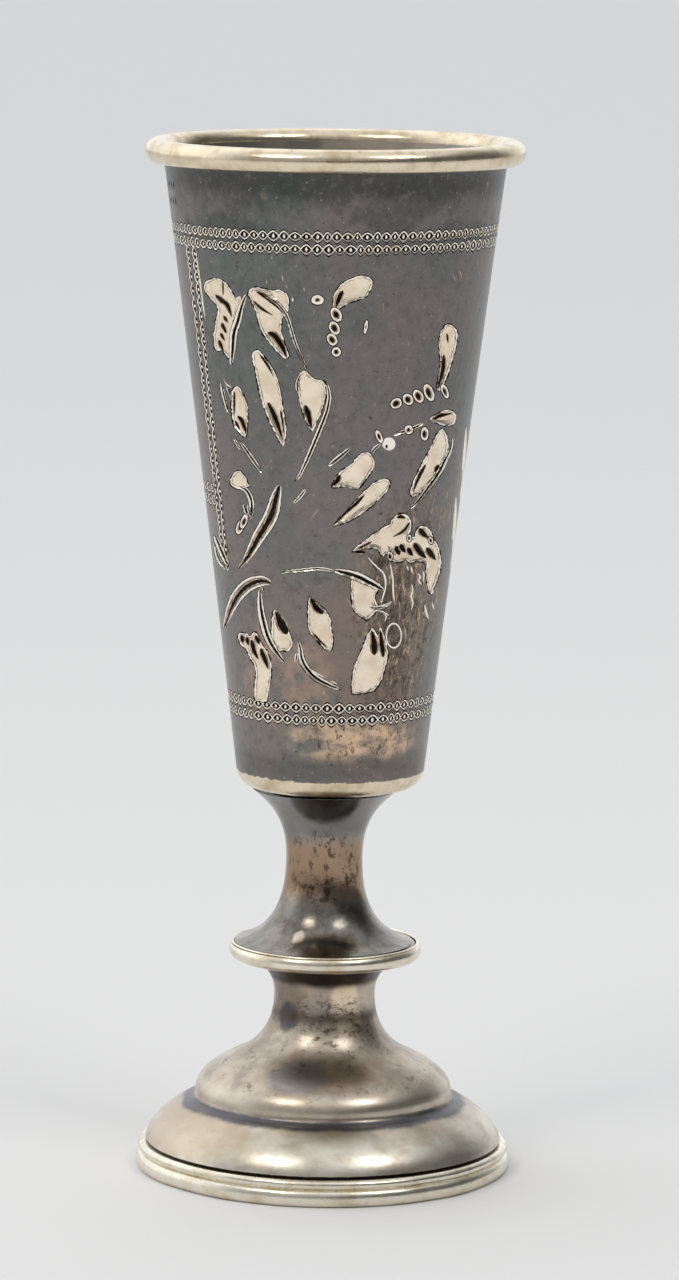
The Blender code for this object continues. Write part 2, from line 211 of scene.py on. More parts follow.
def curve(points, step):
    """Points about a step apart on a smooth line through the given ones. A point given twice is a corner."""
    runs = [[Vector(points[0])]]
    for before, here in zip(points, points[1:]):
        if here == before:
            runs.append([Vector(here)])
        else:
            runs[-1].append(Vector(here))
    line = [runs[0][0]]
    for run in runs:
        for k, (start, end) in enumerate(zip(run, run[1:])):
            lead = run[k - 1] if k else 2 * start - end
            trail = run[k + 2] if k + 2 < len(run) else 2 * end - start
            reach = (end - start).length / 3
            count = max(1, round(3 * reach / step))
            leaving = start + reach * (end - lead).normalized()
            arriving = end - reach * (trail - start).normalized()
            line += geometry.interpolate_bezier(start, leaving, arriving, end, count + 1)[1:]
    return [Vector(point[:2]) for point in line]


def taper(t):
    """How full a stroke is along its length, pointed at both ends."""
    return max(4 * t * (1 - t), 0.0) ** 0.5


def club(t):
    """How full a stroke is along its length, fullest in its first half."""
    return max(math.sin(math.pi * t ** 0.7), 0.0) ** 0.7


def ribbon(line, width, fullness=taper):
    """The outline of a stroke of a width along a line."""
    left, right = [], []
    last = len(line) - 1
    for k in range(1, last):
        along = (line[k + 1] - line[k - 1]).normalized()
        side = Vector((-along.y, along.x)) * width / 2 * fullness(k / last)
        left.append(line[k] + side)
        right.append(line[k] - side)
    return [line[0]] + left + [line[last]] + right[::-1]


def oval(middle, across, tall, lean=0.0, sides=14):
    """The outline of an ellipse given by its two half widths and its lean in degrees."""
    points = []
    for k in range(sides):
        angle = math.tau * k / sides
        point = Vector((across * math.cos(angle), tall * math.sin(angle)))
        point.rotate(Matrix.Rotation(math.radians(lean), 2))
        points.append(Vector(middle) + point)
    return points


def grown(outline, reach):
    """An outline moved outwards by a length, or inwards where that is negative."""
    turning = sum(a.cross(b) for a, b in zip(outline, outline[1:] + outline[:1]))
    side = math.copysign(1.0, turning) * reach
    moved = []
    for before, point, after in zip(outline[-1:] + outline[:-1], outline, outline[1:] + outline[:1]):
        along = (after - before).normalized()
        moved.append(point + Vector((along.y, -along.x)) * side)
    return moved


# Borders of a leaf: how far outside its outline, how ragged, share of the full depth, and finish
# The dark line outside the outline is painted shade, the bright rim a painted highlight, the brownish ring inside
# it painted shade.
LEAF_BORDERS = ((1.5, 0.7, 0.0, DARK), (0.5, 0.6, 0.0, BRIGHT), (-0.7, 0.5, 0.2, SHADE_AND_SCRATCH),
                (-1.4, 0.5, 0.35, CREAM))


class Sheet:
    """The marks on the unrolled wall, in millimetres around and up, each point with its depth."""

    def __init__(self, lay):
        self.points, self.depths = [], []
        self.edges, self.areas, self.finishes = [], [], []
        self.lay = lay
        self.chance = random.Random(5)

    def note(self, points, depths):
        """Keep points of a mark with their depths, and give their numbers."""
        first = len(self.points)
        self.points += [self.lay(point) for point in points]
        self.depths += depths
        return list(range(first, len(self.points)))

    def area(self, outline, depth, finish):
        """A closed mark whose outline lies at one depth."""
        self.areas.append(self.note(outline, [depth] * len(outline)))
        self.finishes.append(finish)

    def keel(self, line, depth):
        """The lowest line of a cut, which rises towards its ends."""
        last = max(len(line) - 1, 1)
        depths = [depth * (KEEL_FADE + (1 - KEEL_FADE) * taper(k / last)) for k in range(len(line))]
        numbers = self.note(line, depths)
        self.edges += list(zip(numbers, numbers[1:]))

    def ragged(self, outline, reach):
        """An outline with its points put a little out of line."""
        stray = self.chance.uniform
        return [point + Vector((stray(-reach, reach), stray(-reach, reach))) for point in outline]

    def leaf(self, outline):
        """A bright cut leaf. Its outline starts at the tip, goes up one side and comes down the other."""
        edge = curve(outline + outline[:1], LEAF_STEP)[:-1]
        # Painted shade outside the edge, a painted highlight on it and painted shade just inside.
        for reach, stray, share, finish in LEAF_BORDERS:
            self.area(self.ragged(grown(edge, reach), stray), LEAF_DEPTH * share, finish)
        half = len(edge) // 2
        pairs = [(edge[k], edge[-k]) for k in range(2, half - 1)]
        self.keel([KEEL_SIDE * a + (1 - KEEL_SIDE) * b for a, b in pairs], LEAF_DEPTH)

    def strokes(self, path, borders, fullness):
        """Closed marks along one line, from the widest: the width, stray, depth and finish of each."""
        for width, stray, depth, finish in borders:
            self.area(self.ragged(ribbon(path, width, fullness), stray), depth, finish)

    def slit(self, line, width):
        """A dark tapered cut, most often inside a leaf."""
        path = curve(line, LEAF_STEP)
        start = LEAF_DEPTH * 0.7
        # The brownish band round the slit is painted shade; its dark core is blackened cut with painted shade of
        # its steep side.
        brown = (width * 1.6 + 1.2, 0.2, start, SHADE_AND_SCRATCH)
        dark = (width * 1.12 + 0.3, 0.15, start, DARK)
        self.strokes(path, (brown, dark), club)
        self.keel(path[1:-1], SLIT_DEPTH)

    def line(self, line, width, core=0.5, fullness=taper):
        """A cut line with a bright burr on both sides."""
        path = curve(line, LINE_STEP)
        burr = width * 1.1 + 0.5
        dark = (width * core, 0.15, LINE_DEPTH * 0.5, DARK)
        self.strokes(path, ((burr + 1.4, 0.25, 0.0, DARK), (burr, 0.25, 0.0, BRIGHT), dark), fullness)
        self.keel(path[1:-1], LINE_DEPTH)

    def bead(self, middle, across, tall, lean, core):
        """A small oval hollow with a bright border."""
        self.area(oval(middle, across + 1.0, tall + 1.0, lean), 0.0, DARK)
        self.area(self.ragged(oval(middle, across, tall, lean), 0.25), 0.0, BRIGHT)
        # The brownish ring on the hollow's slope is painted shade.
        self.area(oval(middle, across * (core + 0.15), tall * (core + 0.15), lean, 10), 0.0, SHADE_AND_SCRATCH)
        self.area(oval(middle, across * core * 0.85, tall * core * 0.85, lean, 10), LINE_DEPTH * 0.5, DARK)
        self.note([Vector(middle)], [LINE_DEPTH])


# Cut leaves of the spray in pixels of the front picture: each outline from its tip round to its tip, across and
# down for each point in turn. A point given twice is a corner.
LEAVES = (
    (286, 358.5, 277, 351, 269, 341, 264.4, 335, 260.6, 327, 256.7, 313, 251, 299, 248.6, 293, 254.8, 288,
     263, 289, 272, 291, 281, 291, 287, 296, 288, 305, 286, 313, 281.6, 318, 280.7, 331, 284.5, 345, 288.3,
     356),
    (283.3, 446.5, 277, 436, 271, 423, 266, 411, 262, 400, 258.5, 383, 255.5, 369, 252.8, 357, 255, 351.5,
     259.5, 352, 267, 361.5, 274, 371.5, 278, 382, 280, 393.5, 282, 406, 284.3, 420, 285.6, 431),
    (311.8, 431, 306, 420, 300.8, 403, 299, 393, 298.5, 382, 300.5, 374, 305, 371.5, 309.5, 376, 316, 380,
     321, 380.5, 324.5, 386, 325, 395, 322, 408, 317, 420, 313.5, 428),
    (228.5, 358, 222, 350, 215.6, 349, 214.2, 337, 216, 322, 218.5, 309, 213, 300, 205.5, 291, 204.6, 285,
     209, 280.5, 216.6, 278.8, 225.2, 283.4, 231.9, 293, 234.7, 299, 240, 296.5, 236, 311, 233.5, 321, 231.5,
     333, 231, 345),
    (333, 308, 334.7, 295, 340, 286.3, 347.7, 280.8, 356.4, 277.4, 364, 276.6, 371.6, 280.8, 369.4, 290.6,
     365, 297, 360, 298.6, 352, 301.2, 344.4, 305, 338.6, 308),
    (437.1, 390.3, 438.8, 378.4, 441, 364.3, 440.4, 354.6, 439.8, 340.5, 442, 330.7, 448.5, 324.6, 456.1,
     330.7, 456.3, 340.5, 454, 352.4, 449.6, 367.6, 445.3, 379.5, 440.6, 389.5),
    (332.2, 487, 339.4, 473.7, 350.6, 465.5, 358, 457, 364.9, 452.8, 371, 455.3, 373.8, 463.5, 370, 472.7,
     360.8, 484.9, 356.7, 488.5, 344.5, 486),
    (333.3, 525.7, 348.6, 509.4, 360.8, 496.1, 372, 484.9, 381.2, 480.3, 388.4, 480.8, 389.4, 484.5, 385.3,
     492, 375, 502.2, 364.9, 510.4, 350.6, 519.6),
    (412.4, 496.5, 410.8, 492, 414.9, 479.8, 423, 463.5, 430.2, 449.2, 436.3, 436.9, 441.4, 429.8, 445.5,
     433.9, 447.6, 447.1, 445.5, 456.3, 440.4, 469.6, 428.2, 483.9, 417, 494.5),
    (429.7, 419.6, 437.3, 414.5, 449.6, 410.4, 455.2, 415.5, 452.7, 423.7, 446.5, 425.2, 437.3, 422.7),
    (309.5, 597.5, 308.7, 606.6, 308.7, 623.2, 310.3, 631.5, 317.8, 640.6, 328, 651, 330.5, 650, 332.4, 642,
     330.8, 628, 329, 617, 325, 611, 317.8, 604),
    (274.3, 609.9, 272.8, 618, 272.2, 629.8, 272.6, 640, 279.5, 650.4, 282, 649.5, 288, 650, 291.7, 643,
     289.6, 635, 284.6, 625.7, 278.8, 615.7),
    (245.3, 437.5, 240.5, 433, 234.5, 424, 232.5, 412, 232, 399, 233.5, 390, 237.5, 387, 242.4, 394.4, 246.2,
     404, 247, 414, 246.8, 426),
    (366.4, 619.8, 354.8, 610.5, 352.8, 603, 352, 591, 353, 578.6, 361, 579, 370, 585.5, 377, 590.6, 374.3,
     596, 375.5, 603, 378, 607.5, 373, 613.5),
    (371.8, 628, 368, 635.7, 363, 648, 358, 659.7, 354, 670.5, 352.3, 683, 352.3, 693.7, 352.3, 693.7, 364.8,
     692.6, 374.7, 689.6, 374.7, 689.6, 381.4, 678.8, 384.7, 666.3, 387, 656, 386.3, 644, 383, 634, 379.7,
     627.6, 379.7, 627.6, 378, 637, 374.9, 632.5),
    (239.6, 633, 238.9, 639, 242.3, 645.6, 246.5, 648.5, 250.6, 658, 254.8, 664.6, 256.4, 673, 255.2, 686,
     255.2, 700.5, 255.2, 700.5, 266.4, 701, 266.4, 701, 268, 689.5, 270.5, 673, 269.7, 660.5, 266.4, 652.2,
     260.6, 643.5, 256.8, 634.5, 253.4, 632.5, 250.5, 637, 245.8, 634),
    (353, 551, 362.9, 542.9, 373.6, 534.8, 384.3, 527.7, 390.6, 524.8, 393.4, 518.4, 401.3, 514.3, 407.5, 517,
     411, 523, 410.4, 529, 409, 535, 414.5, 538, 415.8, 533, 418.6, 528, 423.6, 526.6, 429.8, 531.3, 432.8,
     538.4, 437.9, 547.5, 440.3, 557.5, 439.6, 569.6, 436.5, 580, 433, 589, 431.2, 593.6, 429, 589, 427, 580,
     426.6, 571.4, 427, 564, 418, 560.5, 411, 562, 405.7, 559.6, 396.5, 561.5, 390.5, 558, 386, 553, 382.6,
     555.6, 377.5, 548.6, 366.5, 547.6),
    (248.6, 486, 240, 488.5, 231.2, 484, 233, 476, 238.2, 471, 243.3, 475.5),
)

# Dark tapered cuts: the full width, then the line from the broad end, in pixels
SLITS = (
    (4.2, 267, 332.3, 274.5, 336, 281, 345.6, 286.6, 357.5), (1.5, 253, 300.6, 260.6, 308.3, 273, 315.6),
    (1.3, 255.5, 291.5, 268, 300, 277, 307.5, 281.5, 313),
    (3.6, 267, 402, 272, 411.5, 277, 423.5, 282.8, 441), (1.3, 259, 354, 268, 366.5, 273.4, 377.5),
    (1.1, 280, 410, 282.5, 424, 283.6, 436), (4, 304.8, 405, 308.2, 414.5, 311.5, 428.8),
    (3.2, 214.3, 294.6, 221.4, 300.6, 227, 305.6, 231.2, 317.5), (0.9, 222.2, 281, 222.4, 296),
    (2.1, 222.6, 315.5, 227.4, 323), (2.5, 220.8, 322.6, 226, 333.8), (1.7, 219.4, 332.5, 224.4, 341.4),
    (2.4, 217.6, 339.5, 223.2, 352), (3.6, 343, 290.6, 339.2, 298, 335.8, 307.5),
    (3, 444.6, 354, 443.8, 366, 441, 380, 438, 389), (1.2, 447.6, 333, 448.8, 344),
    (3.4, 340.6, 474.5, 337, 481, 333.2, 486), (1.9, 365, 494.6, 357.5, 502.8, 345.5, 513, 334.6, 524.6),
    (2.2, 426.6, 464, 418.8, 478.5, 413.4, 493), (2, 439.6, 464.5, 434.6, 472.5),
    (2.4, 433, 419.6, 442.2, 415.4, 453.4, 413.4), (4.6, 323.8, 613.8, 316.5, 608.4, 310.4, 598.6),
    (1.1, 312, 632.5, 320, 641, 328.4, 648.8), (6.6, 286.8, 634.6, 280.8, 623.5, 274.9, 611.5),
    (3, 236.8, 415.5, 242, 422, 245.4, 434), (1.1, 233.9, 391, 233.6, 417), (1.5, 234.5, 420.5, 239.6, 431),
    (5.2, 374.6, 655.6, 374.4, 643, 372.2, 631), (3.4, 383.6, 658, 382.6, 646, 380.2, 629.5),
    (2.8, 241, 635, 242.6, 643.4), (2.8, 245.9, 636.8, 248, 645.8), (3.4, 250.4, 639.4, 254, 652, 258, 660),
    (3, 254.6, 635.2, 259.2, 645), (3.4, 259.8, 648, 264, 658.8, 267.8, 669.5),
    (2.6, 396.8, 517.6, 401.5, 516.8, 406, 519), (1.9, 410.2, 522.3, 404.5, 530.6, 393.2, 537),
    (4.6, 396.2, 545.8, 397.8, 550, 400.2, 555.4), (4, 400.8, 544, 402.8, 548, 406, 553),
    (4, 408, 547.4, 410, 551.4, 413.4, 556.2), (4.8, 414.4, 542.6, 418.6, 549.6, 423, 554.6, 427, 558.4),
    (4.2, 427, 547.4, 431.4, 553.4, 437, 560.6), (4.8, 419.6, 528.6, 423.4, 533, 428.6, 538),
    (1.3, 372.5, 541.6, 365, 545.4, 357, 549.4), (2.4, 354.6, 551.6, 366.4, 552.6),
)

# Cut lines with a bright burr: the full width, then the line, in pixels
LINES = (
    (5.8, 246.2, 294, 241, 307, 237.5, 321, 233.8, 332, 232.4, 347, 231, 366),
    (2.9, 254, 289.6, 265, 295.5, 277, 303.5, 286.5, 316, 291, 329, 295, 342.7, 301.7, 358, 308.4, 374),
    (4.2, 322.6, 379, 327.6, 387, 329.2, 398, 326.2, 413, 319.2, 431, 311.8, 449, 305.4, 463.3, 298.2, 477.6,
     294, 482), (2.4, 301, 373, 297, 384, 297.9, 393), (4, 351, 447.5, 341, 456, 328, 466.5),
    (3, 371, 453.6, 375, 448.5, 381.5, 443.6), (3.2, 393.6, 435.6, 402, 432, 409, 430, 416, 427, 424, 422.8),
    (4, 452.7, 436.5, 451.4, 447, 446.5, 458, 438.4, 473.7, 428.2, 488, 418, 501.2, 409.6, 509.6),
    (2.6, 280, 573.2, 290, 571.4, 303.5, 570, 318, 568.8, 330, 570.2, 345, 573.6),
    (7, 334, 570.4, 349.5, 574, 360.2, 577.8, 372, 583.6, 384.4, 590.4),
    (2.8, 370, 607, 377, 608, 384, 606.2, 391.6, 602.6),
    (5, 297.8, 640, 300.4, 649.7, 301.6, 658.8, 307, 668.8, 316, 677.9, 330, 685.4, 342, 690),
    (2.6, 297, 652, 295.4, 662.6),
    (5.8, 259.6, 588.6, 260.2, 605, 263, 621, 268, 638, 274.7, 650, 284.8, 663.4),
    (2.8, 306, 488.6, 299, 497.9, 293, 503.6), (4.2, 238, 486.5, 246.4, 490.8, 251.2, 502, 250.8, 519),
    (3, 243.3, 504, 247.4, 516), (2.2, 247, 504.5, 250.6, 516), (3.4, 239.2, 440.4, 247, 451.6, 262, 473),
    (2.4, 233.4, 438, 240.2, 450), (2.2, 223.4, 379.6, 231.6, 387.6),
    (2.6, 220.4, 382.6, 223.6, 396, 228, 413), (2, 226, 384, 231.4, 400),
    (4.4, 214, 534.5, 219.8, 548, 227.6, 566), (3, 214.4, 546, 218, 558, 222.6, 567),
    (1.4, 262, 586.6, 263.4, 592),
)

# Broad branches: the full width, the share of it that is dark core, then the line, in pixels
BRANCHES = (
    (12, 0.42, 279.6, 484.6, 276, 497, 272.6, 511, 268, 521.6, 258, 538, 248, 556, 237.6, 570),
    (11, 0.34, 271.6, 583.2, 261, 581, 248, 585.4, 238, 595, 231, 608, 226, 622, 223.6, 630),
)

# Beads: middle, half width, half height, lean in degrees and share of the hollow, in pixels
BEADS = (
    (317.5, 300, 6.2, 4.8, 0, 0.34), (336.3, 314.6, 5, 7.6, -30, 0.55), (334.4, 328, 4.8, 7, -30, 0.55),
    (332, 339.6, 4.6, 6.4, -35, 0.55), (336.3, 351.9, 4.6, 4.6, 0, 0.5), (396.2, 403.4, 5.8, 4.8, -30, 0.6),
    (408, 399.4, 4.8, 6, -35, 0.55), (418.4, 396.2, 4.6, 7, -28, 0.55), (429, 392.6, 4.6, 9.2, -22, 0.55),
    (444.9, 391.4, 3, 7.6, -20, 0.5), (408.8, 429.8, 4.2, 4.4, 0, 0.4), (424.6, 433.9, 3.8, 6.8, 0, 0.5),
    (379.2, 436.6, 2.8, 6.8, -22, 0.42), (409.2, 538.2, 2.2, 3.4, 0, 0.5), (430.8, 540.4, 2.4, 3.8, -12, 0.5),
    (390.2, 556.2, 2.6, 4.4, -8, 0.6), (239.9, 527, 3.6, 7.6, 18, 0.5), (243.8, 521.6, 3.2, 7.4, 18, 0.5),
    (365.8, 327, 1.6, 7, 10, 0.2),
)

# The large bead, its pit, and the ring beside the flower: middle, half width, half height, lean and sides
LARGE_BEAD = ((388.9, 444), 6.6, 6.6)
LARGE_BEAD_PIT = ((386.8, 446.4), 1.3, 1.8, 0, 8)
RING_OUTSIDE = ((393.8, 635.7), 8.2, 13.0, 0, 20)
RING_INSIDE = ((393.8, 635.7), 6.9, 11.4, 0, 20)

# Bright burrs about the flower and the stalks: the full width, then the line, in pixels
BURRS = (
    (1.5, 367, 556, 371.5, 561.5, 377.5, 567.5, 383, 572.5, 385.4, 580, 385.2, 588, 383.2, 596, 381, 604),
    (1.6, 390, 562.5, 391.8, 572, 393, 582, 393.2, 592, 394.4, 603),
    (1.7, 411.4, 583, 412.8, 589.5, 411.2, 596, 412.8, 602.5, 411.4, 610),
    (1.7, 417, 573, 420.4, 576.4, 418.6, 580.6, 421.8, 585), (1.2, 422.4, 570, 424, 576, 423, 583),
    (2.1, 424.6, 604, 426, 611, 428.4, 619), (1.5, 432.2, 602, 434, 609.6),
    (1.3, 384.6, 612, 386, 617, 384.8, 622), (1.1, 376, 610.4, 383, 612, 389.6, 616),
    (1.5, 381, 607.4, 387, 604.4, 392, 601.6), (1.3, 356.6, 571.6, 358.2, 567.6), (1.3, 407, 565, 408.6, 571),
    (1.3, 411, 565, 412.4, 574), (1.2, 309, 668.6, 317, 673.6, 325, 677.6), (1.1, 330, 680.6, 338, 684.6),
    (1.4, 195.6, 250, 198.4, 270, 202.4, 300, 205.2, 320), (1.6, 227, 275, 228.6, 277.6),
    (1.7, 292, 297, 293, 302),
)

# Faint light scratches: the full width, then the line, in pixels
SCRATCHES = (
    (0.9, 383, 302.5, 383.6, 308, 384, 314.4), (0.8, 408.4, 339.4, 408.8, 343, 409, 347),
    (0.8, 407.3, 364, 406.9, 369, 406.8, 374), (1, 309.5, 521, 314, 515, 319.3, 508.6),
    (1, 452, 272, 454, 276, 455, 281), (1, 459, 270, 461, 275, 461.5, 280),
    (0.8, 465, 273, 467, 278, 467, 283), (0.7, 263, 470, 268, 466, 272, 459),
    (0.8, 346, 598, 352, 606, 355, 612), (1.6, 266, 279, 267, 284.6), (1.6, 270, 277.6, 271.6, 283),
    (1.5, 276, 279, 277, 284.6), (1.8, 282, 274, 283.2, 282.6), (1.7, 286, 284, 287, 290),
    (1.6, 301, 277, 302.4, 279.6), (1.2, 303.6, 287, 304.6, 292), (0.7, 314, 308, 313, 316),
    (0.7, 311.8, 334, 311.4, 344), (0.7, 309.6, 354, 308.4, 362), (1, 396, 588, 397, 596, 396, 604),
    (0.9, 402.4, 571, 403.2, 580, 402.6, 590), (1, 399, 600, 400, 612, 399, 622),
    (1.1, 436, 586, 437.2, 594, 436.4, 604), (1.3, 323.6, 690, 324.4, 696),
    (1, 404.6, 626, 405.6, 634, 404.8, 643), (1, 418, 606, 419.2, 616, 418.4, 626),
)


def pairs(numbers):
    """Points out of a plain row of numbers."""
    return list(zip(numbers[::2], numbers[1::2]))


def add_spray(sheet):
    """The spray of leaves, stalks and beads, as it lies in the front picture."""
    for width, core, *numbers in BRANCHES:
        line = pairs(numbers)
        sheet.line(line, width, core, club)
        wall = (width - 2.6, 0.3, 0.0, WALL)
        # The brownish band round each branch's dark core is painted shade.
        brown = (width * core + 2.4, 0.9, LINE_DEPTH * 0.3, SHADE_AND_SCRATCH)
        dark = (width * core, 0.3, LINE_DEPTH * 0.5, DARK)
        sheet.strokes(curve(line, LINE_STEP), (wall, brown, dark), club)
    for outline in LEAVES:
        sheet.leaf(pairs(outline))
    for width, *line in LINES:
        sheet.line(pairs(line), width)
    sheet.area(oval(*LARGE_BEAD), 0.0, BRIGHT)
    sheet.area(oval(*LARGE_BEAD_PIT), 0.04, DARK)
    for across, down, *shape in BEADS:
        sheet.bead((across, down), *shape)
    for border, finish in ((RING_OUTSIDE, BRIGHT), (RING_INSIDE, WALL)):
        sheet.area(oval(*border), 0.0, finish)
    for width, *line in SLITS:
        sheet.slit(pairs(line), width)


def lozenge(middle, along, side, corners):
    """A small outline about a middle, from corners given as shares along and aside."""
    return [middle + a * along + b * side for a, b in corners]


# Corners of a lozenge, of its dark hollow and of the dot in it, as shares of its half length and half width
OUTER_CORNERS = ((-1, 0.2), (-0.5, 0.74), (0, 1), (0.5, 0.74), (1, 0.2), (1, -0.2), (0.5, -0.74), (0, -1),
                 (-0.5, -0.74), (-1, -0.2))
INNER_CORNERS = ((-0.9, 0), (-0.48, 0.5), (0, 0.76), (0.48, 0.5), (0.9, 0), (0.48, -0.47), (0, -0.68),
                 (-0.48, -0.47))
DOT_CORNERS = ((-0.25, -0.04), (-0.07, 0.4), (0.09, 0.4), (0.25, -0.04), (0.07, -0.36), (-0.09, -0.36))


def add_row(sheet, start, end, chance, pitch, width=ROW_WIDTH):
    """A row of small lozenges between two points, each a bright border round a dark hollow with a dot."""
    start, end = Vector(start), Vector(end)
    count = round((end - start).length / pitch)
    stops = np.cumsum([0.0] + [chance.uniform(0.75, 1.25) for _ in range(count)])
    stops = stops / stops[-1]
    cells = []
    for low, high in zip(stops, stops[1:]):
        middle = start.lerp(end, (low + high) / 2)
        along = (end - start) * (high - low) / 2
        wide = width / 2 * chance.uniform(0.85, 1.12)
        side = Vector((-along.y, along.x)).normalized() * wide
        cells.append((middle, along, side))
        sheet.area(lozenge(middle, along * 1.05, side * 1.3, OUTER_CORNERS), 0.0, DARK)
    for middle, along, side in cells:
        sheet.area(lozenge(middle, along, side, OUTER_CORNERS), 0.0, BRIGHT)
        sheet.area(lozenge(middle, along, side, INNER_CORNERS), 0.03, DARK)
        sheet.area(lozenge(middle, along, side, DOT_CORNERS), 0.04, BRIGHT)


def add_bands(sheet):
    """Both double rows round the bowl."""
    chance = random.Random(11)
    left = math.radians(SEAM_TURN) * UNROLLED_RADIUS
    right = left + math.tau * UNROLLED_RADIUS
    sheet.lay = lambda point: Vector((min(max(point.x, left + SHEET_MARGIN), right - SHEET_MARGIN), point.y))
    for band in (LOW_BAND, HIGH_BAND):
        for shift in (-ROW_SPACING / 2, ROW_SPACING / 2):
            stretch = UNROLLED_RADIUS / wall_radius(band)
            add_row(sheet, (left, band + shift), (right, band + shift), chance, ROW_PITCH * stretch)
    sheet.lay = Vector
    return chance


def add_panel(sheet, chance):
    """The double rows down one side of the panel."""
    top = thrown((190.3, 246.5))
    low = thrown((226.0, 570.0))
    shift = Vector((ROW_SPACING / 2 * UNROLLED_RADIUS / wall_radius(40.0), 0.0))
    for side in (-1, 1):
        add_row(sheet, top + side * shift, low + side * shift * 0.7, chance, PANEL_ROW_PITCH, PANEL_ROW_WIDTH)


def add_sill(sheet, chance):
    """The short double row across the panel."""
    end = thrown((219.0, 495.5))
    start = mirrored(end)
    for shift in (-0.6, 0.6):
        add_row(sheet, start + Vector((0.9, shift)), end + Vector((-0.9, shift)), chance, 1.2)


def add_sprig(sheet):
    """A plain sprig on the far side, in keeping with the spray."""
    leaves = ((0, 34, 0, 42, 2.2), (-2, 29, -6, 37, 1.8), (2, 29, 6, 37, 1.8), (-2, 22, -6.5, 30, 1.8),
              (2, 22, 6.5, 30, 1.8))
    for foot_across, foot_up, tip_across, tip_up, width in leaves:
        start = unrolled(92.0, foot_up) + Vector((foot_across * 0.7, 0))
        end = unrolled(92.0, tip_up) + Vector((tip_across * 0.7, 0))
        path = curve([start, start.lerp(end, 0.5), end], 0.4)
        sheet.area(ribbon(path, width, club), 0.0, BRIGHT)
        sheet.keel(path[1:-1], LEAF_DEPTH)
        sheet.area(ribbon(path[:len(path) // 2], width * 0.3), LEAF_DEPTH * 0.7, DARK)
    stalk = curve([unrolled(92.0, 14), unrolled(91.0, 24), unrolled(92.0, 34)], 0.4)
    sheet.area(ribbon(stalk, 0.45), 0.0, BRIGHT)
    sheet.area(ribbon(stalk, 0.2), LINE_DEPTH * 0.5, DARK)


def add_ticks(sheet):
    """Two short rows of plain upright ticks under the rim."""
    for column in range(4):
        for level in (59.3, 60.9):
            low = unrolled(-81.0 + 3.0 * column, level - 0.5)
            sheet.area(ribbon([low, low + Vector((0.05, 0.5)), low + Vector((0.0, 1.0))], 0.34), 0.0, DARK)


def add_scratches(sheet):
    """Faint light scratches and brighter burrs between the marks."""
    for lines, finish in ((SCRATCHES, SHADE_AND_SCRATCH), (BURRS, BRIGHT)):
        for width, *line in lines:
            sheet.area(sheet.ragged(ribbon(curve(pairs(line), 3.0), width), 0.25), 0.0, finish)


def all_marks():
    """Every mark of the wall on one sheet."""
    sheet = Sheet(Vector)
    chance = add_bands(sheet)
    add_sprig(sheet)
    for lay in (lambda point: point, mirrored):
        sheet.lay = lay
        add_panel(sheet, chance)
        sheet.lay = lambda pixel, lay=lay: lay(thrown(pixel))
        add_spray(sheet)
    sheet.lay = thrown
    add_scratches(sheet)
    sheet.lay = Vector
    add_ticks(sheet)
    add_sill(sheet, chance)
    return sheet


def plain_points(sheet):
    """Points of the wall between the marks: its border in full, and a grid that keeps clear of them."""
    tree = kdtree.KDTree(len(sheet.points))
    for number, point in enumerate(sheet.points):
        tree.insert((point.x, point.y, 0.0), number)
    tree.balance()
    left = math.radians(SEAM_TURN) * UNROLLED_RADIUS
    step = math.tau * UNROLLED_RADIUS / COLUMNS
    rows = round((SHEET_HIGH - SHEET_LOW) / SHEET_ROW)
    border, grid = [], []
    for row in range(rows + 1):
        height = SHEET_LOW + row * (SHEET_HIGH - SHEET_LOW) / rows
        for column in range(COLUMNS + 1):
            point = Vector((left + column * step, height))
            if row in (0, rows) or column in (0, COLUMNS):
                border.append(point)
            elif tree.find((point.x, point.y, 0.0))[2] > MARK_CLEARANCE:
                grid.append(point)
    return border, grid


def settled(depths, known, edges, rounds=60):
    """Depths with each unknown one set to the mean of its neighbours."""
    ends = np.array(edges)
    for _ in range(rounds):
        total = np.bincount(ends[:, 0], depths[ends[:, 1]], len(depths))
        total += np.bincount(ends[:, 1], depths[ends[:, 0]], len(depths))
        count = np.bincount(ends.ravel(), minlength=len(depths))
        depths = np.where(known, depths, total / np.maximum(count, 1))
    return depths


def within(outline, spots):
    """Which of the spots lie inside an outline."""
    wound = np.zeros(len(spots), int)
    for (ax, ay), (bx, by) in zip(outline, np.roll(outline, -1, 0)):
        side = (bx - ax) * (spots[:, 1] - ay) - (spots[:, 0] - ax) * (by - ay)
        wound += (ay <= spots[:, 1]) & (by > spots[:, 1]) & (side > 0)
        wound -= (ay > spots[:, 1]) & (by <= spots[:, 1]) & (side < 0)
    return wound != 0


def finishes_at(sheet, spots):
    """The finish at each spot of the sheet: that of the last mark laid over it."""
    finishes = np.full(len(spots), WALL)
    for numbers, finish in zip(sheet.areas, sheet.finishes):
        outline = np.array([sheet.points[n] for n in numbers])
        low, high = outline.min(0), outline.max(0)
        near = np.flatnonzero(((spots > low) & (spots < high)).all(1))
        finishes[near[within(outline, spots[near])]] = finish
    return finishes


